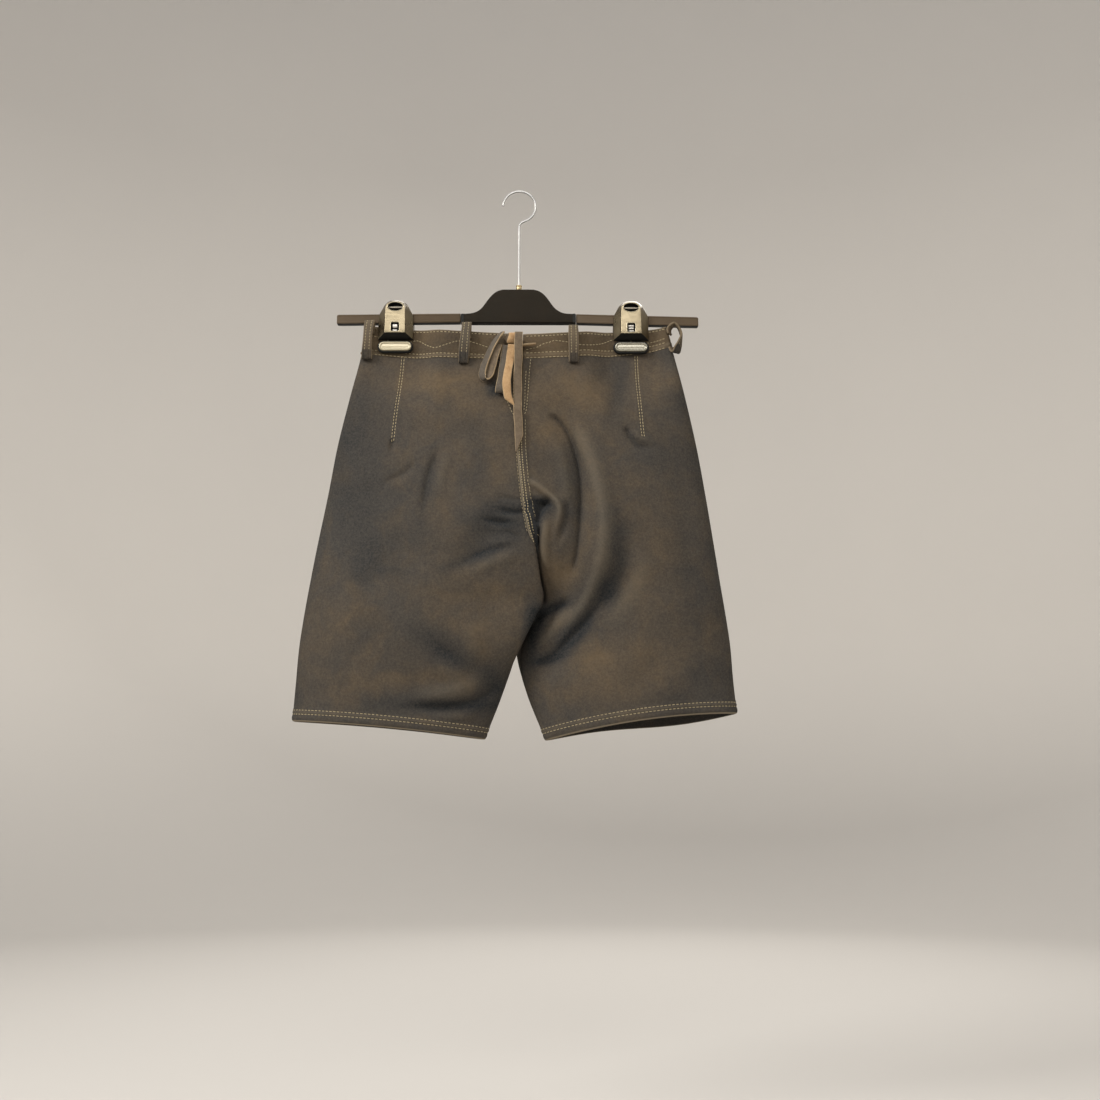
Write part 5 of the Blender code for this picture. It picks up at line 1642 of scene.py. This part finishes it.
def stitch_seat():
    trees = {key: tree_of(obj) for key, obj in PANELS.items()}
    work = Stitches(23)
    seat = tree_of(PANELS[("left", "back")], PANELS[("right", "back")])
    for past, side, radius, pitch, foot in SEAM_ROWS:
        points, normals = seam_place(side, "back", past, np.linspace(SEAM_TOP, foot, 120))
        work.row(points, normals, seat, pitch=pitch, radius=radius)
    for side, lines in SLIT_ROWS.items():
        for line in lines:
            work.row(*flat_place(side, "back", line), trees[(side, "back")], pitch=3.7)
    for past in (2.2, 6.0):
        for side in SIDES:
            points, normals = seam_place(side, "front", past, np.linspace(-300, -440, 90))
            work.row(points, normals, trees[(side, "front")], pitch=3.9)
    for side, line in DARTS.items():
        for shift in (-1.35, 1.35):
            moved = [(x + shift, z) for x, z in line]
            work.row(*flat_place(side, "back", moved), trees[(side, "back")], pitch=3.7, radius=0.4)
    work.finish("seat_stitches")


stitch_hems()
stitch_seat()


# ---- the front closure, plainly finished ----
PLACKET_GRID = (90, 18)
TAB_LINES = 22
TAB_COLUMNS = (("left", 22), ("right", 18))
# How far the closure's stitches stand off the leather's middle.
STITCH_LIFT = 0.85
# The button's outline from its middle round to its back: shares of its radius and of its thickness.
BUTTON_PROFILE = (
    (0.0, 0.62), (0.25, 0.62), (0.5, 0.66), (0.62, 0.72), (0.72, 0.92), (0.84, 1.0), (0.95, 0.86),
    (1.0, 0.55), (0.97, 0.25), (0.85, 0.05), (0.0, 0.0),
)
BUTTON_SIDES = 48


def closure_grid(side, rows, shares, lift):
    us = np.arccos(1 - 2 * np.asarray(shares)) / np.pi
    grid = surface(side, "front", np.asarray(rows)[:, None], us[None, :], fine=False)
    sign = outward(side, "front") * (1 if us[-1] > us[0] else -1)
    normal = normals_of(grid, sign)
    return grid + normal * lift, normal


def edge_reach(rows, cols, down, across):
    """How far each place of a grid lies from its nearest edge, from its steps down and across."""
    columns = np.minimum(np.arange(cols), np.arange(cols)[::-1])[None, :] * across
    lines = np.minimum(np.arange(rows), np.arange(rows)[::-1])[:, None] * down
    return np.minimum(columns, lines)


def closure_piece(name, grid, normal, edge, roll, furrow, side, skin, node):
    """A flat leather piece of the closure: rolled edges, and a furrow under its row of stitches."""
    relief = -0.7 * (1 - smoothstep(0, roll, edge)) - 0.3 * hill(edge - furrow, 0.8)
    half = LEATHER / 2
    outer = grid + normal * (half + relief)[..., None]
    mesh = shell(name, outer, grid - normal * half, outward(side, "front") > 0)
    wear_and_highlight = np.clip(-relief * 0.4, 0, 0.4)
    plain = np.zeros_like(relief)
    # Darker on the inside: painted shade.
    set_fields(mesh, {"warm": (plain + 0.15, 0.1, 0.2), "dark": (plain, 0.4, 0.0), "wear_and_highlight": (wear_and_highlight, 0.0, 0.4)})
    add_piece(name, mesh, (skin,), node)


def build_placket():
    rows, cols = PLACKET_GRID
    grid, normal = closure_grid("left", np.linspace(*PLACKET_ROWS, rows), np.linspace(*PLACKET_SHARES, cols),
                                LEATHER + 0.45)
    closure_piece("fly_placket_leather", grid, normal, edge_reach(rows, cols, 2.0, 1.6), 1.6, 3.0, "left",
                  LEATHER_SKIN, "fly_placket")
    lifted = grid + normal * STITCH_LIFT
    work = Stitches(41)
    for places in ((slice(4, -4), 2), (slice(4, -4), 15), (-4, slice(2, 16))):
        work.row(lifted[places], normal[places])
    work.finish("fly_placket_stitches")


def build_tab():
    lift = BAND_LEATHER / 2 + LAP_LIFT + LEATHER / 2
    rows = np.linspace(*TAB_ROWS, TAB_LINES)
    halves = [closure_grid(side, rows, np.linspace(*TAB_SHARES[side], cols), lift)
              for side, cols in TAB_COLUMNS]
    grid, normal = (np.concatenate(parts, axis=1) for parts in zip(*halves))
    closure_piece("waist_tab_leather", grid, normal, edge_reach(TAB_LINES, grid.shape[1], 1.1, 1.2), 1.5, 3.2,
                  "right", BAND_SKIN, "waist_tab")
    lifted = grid + normal * STITCH_LIFT
    work = Stitches(42)
    for places in ((3, slice(3, -3)), (-4, slice(3, -3)), (slice(3, -3), 3), (slice(3, -3), -4)):
        work.row(lifted[places], normal[places])
    work.finish("waist_tab_stitches")


def build_button():
    """A domed four-hole button with a rolled rim, turned about its middle."""
    low, high = (np.array(corner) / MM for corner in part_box("waist_button"))
    x, z = (low[0] + high[0]) / 2, (low[2] + high[2]) / 2
    back, front = low[1], high[1]
    cosines, sines = circle(BUTTON_SIDES)
    rings = []
    for radius, height in BUTTON_PROFILE:
        reach = max(radius, 0.001) * BUTTON_RADIUS
        y = np.full(BUTTON_SIDES, back + (front - back) * height)
        rings.append(np.stack([x + reach * cosines, y, z + reach * sines], axis=1))
    mesh = faces_out(mesh_from("waist_button_horn", *loft(rings, closed=False)), 0.00005)
    add_piece("waist_button_horn", mesh, (MOULDED_SKINS["brown_horn"],), "waist_button")
    work = Stitches(43)
    y = front - (front - back) * 0.3
    for rise in (-1.5, 1.5):
        line = [(x - 2.2, y, z + rise), (x + 2.2, y, z + rise)]
        work.row(line, [(0, 1, 0), (0, 1, 0)], pitch=4.3, radius=0.5, fill=0.98)
    work.finish("waist_button_thread")


build_placket()
build_tab()
build_button()


# ---- the hanger ----
def bevelled(name, points, faces, width, skin, slot, segments, low):
    """A solid from its faces, every edge sharper than low degrees rounded."""
    mesh = mesh_from(name, points, faces)
    work = bmesh.new()
    work.from_mesh(mesh)
    bmesh.ops.recalc_face_normals(work, faces=work.faces)
    edges = [edge for edge in work.edges if edge.is_manifold and edge.calc_face_angle(0) > math.radians(low)]
    bmesh.ops.bevel(work, geom=edges, offset=width * MM, segments=segments, profile=0.6, affect="EDGES",
                    clamp_overlap=True)
    work.to_mesh(mesh)
    work.free()
    obj = add_piece(name, mesh, (skin,))
    mesh.set_sharp_from_angle(angle=math.radians(38))
    return obj


def ellipse(x, y, z, wide, tall, count=40, power=2.0):
    """A ring of points facing the viewer, from an ellipse (2) towards a rounded oblong (5 and over)."""
    c, s = circle(count)
    px = np.sign(c) * np.abs(c) ** (2 / power) * wide / 2
    pz = np.sign(s) * np.abs(s) ** (2 / power) * tall / 2
    return np.stack([x + px, np.full(count, float(y)), z + pz], axis=1)


def stadium(x, y, z, wide, tall, inset=0.0, count=9):
    """A ring of points: two half rounds joined by straight sides."""
    half = tall / 2 - inset
    reach = (wide - tall) / 2
    ring = []
    for centre, start in ((reach, -90), (-reach, 90)):
        for k in range(count):
            a = math.radians(start + 180 * k / (count - 1))
            ring.append((x + centre + half * math.cos(a), y, z + half * math.sin(a)))
    return ring


def hollow_cut(cover, rings):
    """A recess cut in a cover by a plug of rings, with the near-black skin on its sides and floor as painted
    shade.
    """
    mesh = faces_out(mesh_from("plug", *loft(rings)))
    plug = bpy.data.objects.new("plug", mesh)
    bpy.context.scene.collection.objects.link(plug)
    mesh.materials.append(MOULDED_SKINS["black_and_shade"])
    cut = cover.modifiers.new("cut", "BOOLEAN")
    cut.operation = "DIFFERENCE"
    cut.solver = "EXACT"
    cut.material_mode = "TRANSFER"
    cut.object = plug
    bpy.context.view_layer.update()
    graph = bpy.context.evaluated_depsgraph_get()
    made = bpy.data.meshes.new_from_object(cover.evaluated_get(graph), depsgraph=graph)
    cover.modifiers.remove(cut)
    cover.data = made
    bpy.data.objects.remove(plug)


# How the shell swells from its base outline to its face: depth, share of the way between the outlines.
COVER_RINGS = ((4.9, 0.0), (6.0, 0.03), (13.9, 0.93), (15.0, 1.0))
COVER_DEPTH = COVER_RINGS[-1][0]
# A rim's section, in degrees round it.
RIM_TURNS = (90, 45, 0, -45, -90, -135, 180, 135)
# The bar across the eye, from the clip's top, and its radius; the spring's coils in the window, from its
# middle: how high, how wide and how thick.
EYE_BAR = (-12.6, 0.95)
SPRINGS = {
    "left": ((1.9, 5.4, 4.2), (-3.2, 5.0, 2.4)),
    "right": ((3.1, 6.4, 1.9), (0.2, 6.4, 1.9), (-2.9, 6.2, 1.7)),
}


def clip_outline(share):
    """The clip's half outline between its base and its face, mirrored into a ring."""
    base, face = np.array(COVER_BASE, float), np.array(COVER_FACE, float)
    half = base + (face - base) * share
    return np.vstack([half, half[::-1] * (-1, 1)])


def hole_rim(x, y, z, turn, wide, tall, power, radius):
    """A thin rolled rim round one hole of a cover."""
    steps = []
    for angle in np.radians(RIM_TURNS):
        grow = 0.8 + 2 * radius * math.sin(angle)
        depth = y + turn * radius * math.cos(angle)
        steps.append(ellipse(x, depth, z, wide + grow, tall + grow, 40, power))
    return loft(steps + [steps[0]], closed=False)


def build_cover(side, face):
    turn = -1 if face == "near" else 1
    x, top = CLIPS[side], CLIP_TOP[side]
    stem = f"clip_{side}_{face}"
    rings = []
    for depth, share in COVER_RINGS:
        ring = clip_outline(share)
        rings.append(np.stack([x + ring[:, 0], np.full(len(ring), turn * depth), top + ring[:, 1]], axis=1))
    cover = bevelled(f"{stem}_shell", *loft(rings), 0.5, MOULDED_SKINS["gunmetal_shell"], "clip_shell", 3, 14)
    cover.data.materials.append(MOULDED_SKINS["black_and_shade"])
    for place, wide, tall, power, count, taper, _ in COVER_HOLES.values():
        hollow_cut(cover, [
            ellipse(x, turn * (COVER_DEPTH + depth), top + place, wide + grow, tall + grow, count, power)
            for depth, grow in zip((-6.0, 2.0), taper)
        ])
    # The downward facets under the face, and the back, take the near-black skin: painted shade.
    for polygon in cover.data.polygons:
        below = polygon.normal.z < -0.25 and polygon.center.z / MM < top + COVER_FACE[-1][1] + 0.4
        back = polygon.normal.y * turn < -0.9
        if below or back:
            polygon.material_index = 1
    cover.data.shade_smooth()
    cover.data.set_sharp_from_angle(angle=math.radians(32))
    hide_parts(f"{stem}_cover")
    # Thin rims round the holes in the shell's brighter copy: painted highlight.
    rims = [hole_rim(x, turn * (COVER_DEPTH - 0.3), top + place, turn, wide, tall, power, radius)
            for place, wide, tall, power, _, _, radius in COVER_HOLES.values()]
    join(f"{stem}_rims", rims, MOULDED_SKINS["rim_highlight"])
    reach = COVER_HOLES["eye"][1] / 2 - 0.3
    bar = bar_between(x, reach, turn * 11.6, top + EYE_BAR[0], EYE_BAR[1])
    join(f"{stem}_pin", [bar], MOULDED_SKINS["pale_pin"])
    middle = top + COVER_HOLES["window"][0] - 0.5
    coils = [bar_between(x, wide / 2, turn * 12.4, middle + rise, tall / 2)
             for rise, wide, tall in SPRINGS[side]]
    # The coils are near white: painted glint.
    join(f"{stem}_spring", coils, MOULDED_SKINS["spring_glint"])


def bar_between(x, reach, y, z, radius, sides=14):
    """A round bar with domed ends, level, reaching as far each side of x."""
    cosines, sines = circle(sides)
    half = ((reach, 0.35), (reach - 0.2, 0.8), (reach - 0.5, 1.0))
    rings = []
    for at, share in (*((-at, share) for at, share in half), *half[::-1]):
        ring = np.stack([np.zeros(sides), cosines, sines], axis=1) * radius * share
        rings.append(ring + (x + at, y, z))
    return loft(rings)


def join(name, parts, skin):
    """Several solids as one smooth mesh."""
    points, faces, start = [], [], 0
    for places, sides in parts:
        points.append(places)
        faces += [tuple(start + i for i in side) for side in sides]
        start += len(places)
    mesh = faces_out(mesh_from(name, np.vstack(points), faces), 1e-7)
    obj = add_piece(name, mesh, (skin,))
    mesh.set_sharp_from_angle(angle=math.radians(50))
    return obj


# The cup round the jaw and the lip on it: depth from the hanger's middle, inset from the outline. The cup is
# near black: painted shade round the lip.
CUP_STEPS = ((3.1, 2.2), (3.5, 0.7), (5.0, 0.1), (7.6, 0.0), (8.5, 0.5), (8.8, 1.2), (8.3, 1.9), (7.4, 2.1))
LIP_STEPS = (
    (4.5, 2.2), (8.6, 1.75), (9.7, 1.9), (10.35, 2.3), (10.5, 2.9), (10.3, 3.4), (9.7, 3.75), (9.5, 4.3),
    (9.55, 5.2), (9.7, 6.4),
)


def build_pad(side, face):
    turn = -1 if face == "near" else 1
    x, z = CLIPS[side], CLIP_TOP[side] + PAD_Z
    parts = {"cup": (CUP_STEPS, "black_and_shade", 0.0), "lip": (LIP_STEPS, LIP_LOOK[side], 0.15)}
    for name, (steps, look, rise) in parts.items():
        rings = [stadium(x, turn * depth, z + rise, PAD_WIDTH - 0.4, PAD_HEIGHT - 0.2, inset, 17)
                 for depth, inset in steps]
        obj = join(f"clip_{side}_{face}_{name}", [loft(rings)], MOULDED_SKINS[look])
        obj.data.set_sharp_from_angle(angle=math.radians(75))
    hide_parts(f"clip_{side}_{face}_pad")


# The collars where the arms meet the hump: place in x and width, and their foot and head.
COLLARS = ((-62.3, 3.0), (61.0, 3.4))
COLLAR_RISE = (-154.4, -144.6)
ARCH_TOP = -116.1


def build_body():
    """The hanger's hump: one smooth outline with a bevelled edge."""
    foot_left, foot_right, *arch = BODY_OUTLINE
    line = smooth_line(np.array(arch, float), 120)
    line[:, 1] = np.minimum(line[:, 1], ARCH_TOP)
    ring = np.vstack([[foot_right], line[:-1], [arch[-1], foot_left]])
    half = BODY_DEPTH / 2
    rings = [np.stack([ring[:, 0], np.full(len(ring), y), ring[:, 1]], axis=1) for y in (-half, half)]
    body = bevelled("hanger_hump", *loft(rings), 1.4, MOULDED_SKINS["black_body"], "black_plastic", 4, 30)
    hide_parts("hanger_body")
    collars = [slab(x - wide / 2, x + wide / 2, y - 0.3, y + 0.3, *COLLAR_RISE)
               for x, wide in COLLARS for y in (-half - 0.25, half + 0.25)]
    join("hanger_collars", collars, MOULDED_SKINS["black_and_shade"])


def slab(x0, x1, y0, y1, z0, z1):
    """A thin plate with cut corners, between two places on each axis."""
    c = min(x1 - x0, z1 - z0) * 0.2
    ring = ((x0 + c, z0), (x1 - c, z0), (x1, z0 + c), (x1, z1 - c),
            (x1 - c, z1), (x0 + c, z1), (x0, z1 - c), (x0, z0 + c))
    return loft([[(x, y, z) for x, z in ring] for y in (y0, y1)])


# An arm's ends: how far from its inner and from its outer end, and the share of its section there.
ARM_INNER = ((0.0, 0.93), (0.4, 1.0))
ARM_OUTER = ((2.4, 1.0), (1.2, 0.97), (0.4, 0.9), (0.0, 0.76))


def build_rails():
    """Each arm: a bar with rounded edges, a shallow recess along its face, and its underside in the near-black
    skin as painted shade.
    """
    section = rail_section(RAIL_HEIGHT / 2, RAIL_DEPTH / 2)
    for name, (x_in, z_in, x_out, z_out) in RAILS.items():
        length = abs(x_out - x_in)
        places = (*ARM_INNER, *((length - left, share) for left, share in ARM_OUTER))
        rings = []
        for at, share in places:
            x, z = x_in + (x_out - x_in) * at / length, z_in + (z_out - z_in) * at / length
            rings.append([(x, y * share, z + rise * share) for y, rise in section])
        obj = join(f"hanger_arm_{name}", [loft(rings)], MOULDED_SKINS["worn_rail"])
        obj.data.set_sharp_from_angle(angle=math.radians(40))
        obj.data.materials.append(MOULDED_SKINS["black_and_shade"])
        # The downward faces take the near-black skin: painted shade.
        for polygon in obj.data.polygons:
            if polygon.normal.z < -0.8:
                polygon.material_index = 1
        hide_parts(f"hanger_rail_{name}")


def rail_section(high, deep):
    """Half the bar's outline turned into a ring: y and z from its middle."""
    half = [
        (deep - 1.4, -high), (deep - 0.5, -high + 0.35), (deep, -high + 1.3), (deep, -high + 2.1),
        (deep - 0.35, -high + 2.5), (deep - 0.35, high - 2.0), (deep, high - 1.6),
        (deep - 0.25, high - 0.7), (deep - 0.9, high - 0.15), (deep - 1.6, high),
    ]
    return half + [(-y, z) for y, z in reversed(half)]


# The ferrule's rolled end: how far in from the end, and how far in from its radius.
FERRULE_ROLL = ((0.0, 0.5), (0.3, 0.05), (1.0, 0.0), (1.3, 0.25))


def build_stem():
    """The ferrule, with its rolled ends, and the wire's own skin."""
    bpy.data.objects["hanger_hook"].data.materials.clear()
    bpy.data.objects["hanger_hook"].data.materials.append(MOULDED_SKINS["spring_steel"])
    low, high = FERRULE_FOOT + 0.3, STEM_FOOT
    profile = [(low + up, FERRULE_RADIUS - inset) for up, inset in FERRULE_ROLL]
    profile += [(high - up, FERRULE_RADIUS - inset) for up, inset in reversed(FERRULE_ROLL)]
    cosines, sines = circle(32)
    rings = [np.stack([r * cosines, r * sines, np.full(32, z)], axis=1) for z, r in profile]
    obj = join("hanger_collar_ring", [loft(rings)], MOULDED_SKINS["dull_brass"])
    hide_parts("hanger_ferrule")


build_body()
build_rails()
build_stem()
for side in SIDES:
    for face in ("near", "far"):
        build_cover(side, face)
        build_pad(side, face)


# ---- the cuts, flat: what each sewn sheet measured before it was hung ----
# The leather turned up inside each hem.
HEM_TURN = 13.0


def flat_cut(side, face, low, high, turn):
    """A sheet's width, length and area in metres, along the leather's middle, with its hem's turn-up."""
    rows, us = np.linspace(low, high, 90), np.linspace(0, 1, 120)
    grid = surface(side, face, rows[:, None], us[None, :], fine=False)
    across = np.linalg.norm(np.diff(grid, axis=1), axis=2)
    down = np.linalg.norm(np.diff(grid, axis=0), axis=2)
    widths, lengths = across.sum(axis=1), down.sum(axis=0)
    area = float(np.sum((across[:-1] + across[1:]) / 2 * (down[:, :-1] + down[:, 1:]) / 2))
    area += widths[-1] * turn
    return widths.max() * MM, (lengths.max() + turn) * MM, area * MM * MM


def declare_sheets():
    for (side, face), obj in PANELS.items():
        wide, tall, area = flat_cut(side, face, 1.0, HEM_ROW, HEM_TURN)
    for side, obj in BANDS.items():
        back, front = (flat_cut(side, face, 0.0, 1.0, 0.0) for face in FACES)
        wide, tall = back[0] + front[0], max(back[1], front[1])


declare_sheets()
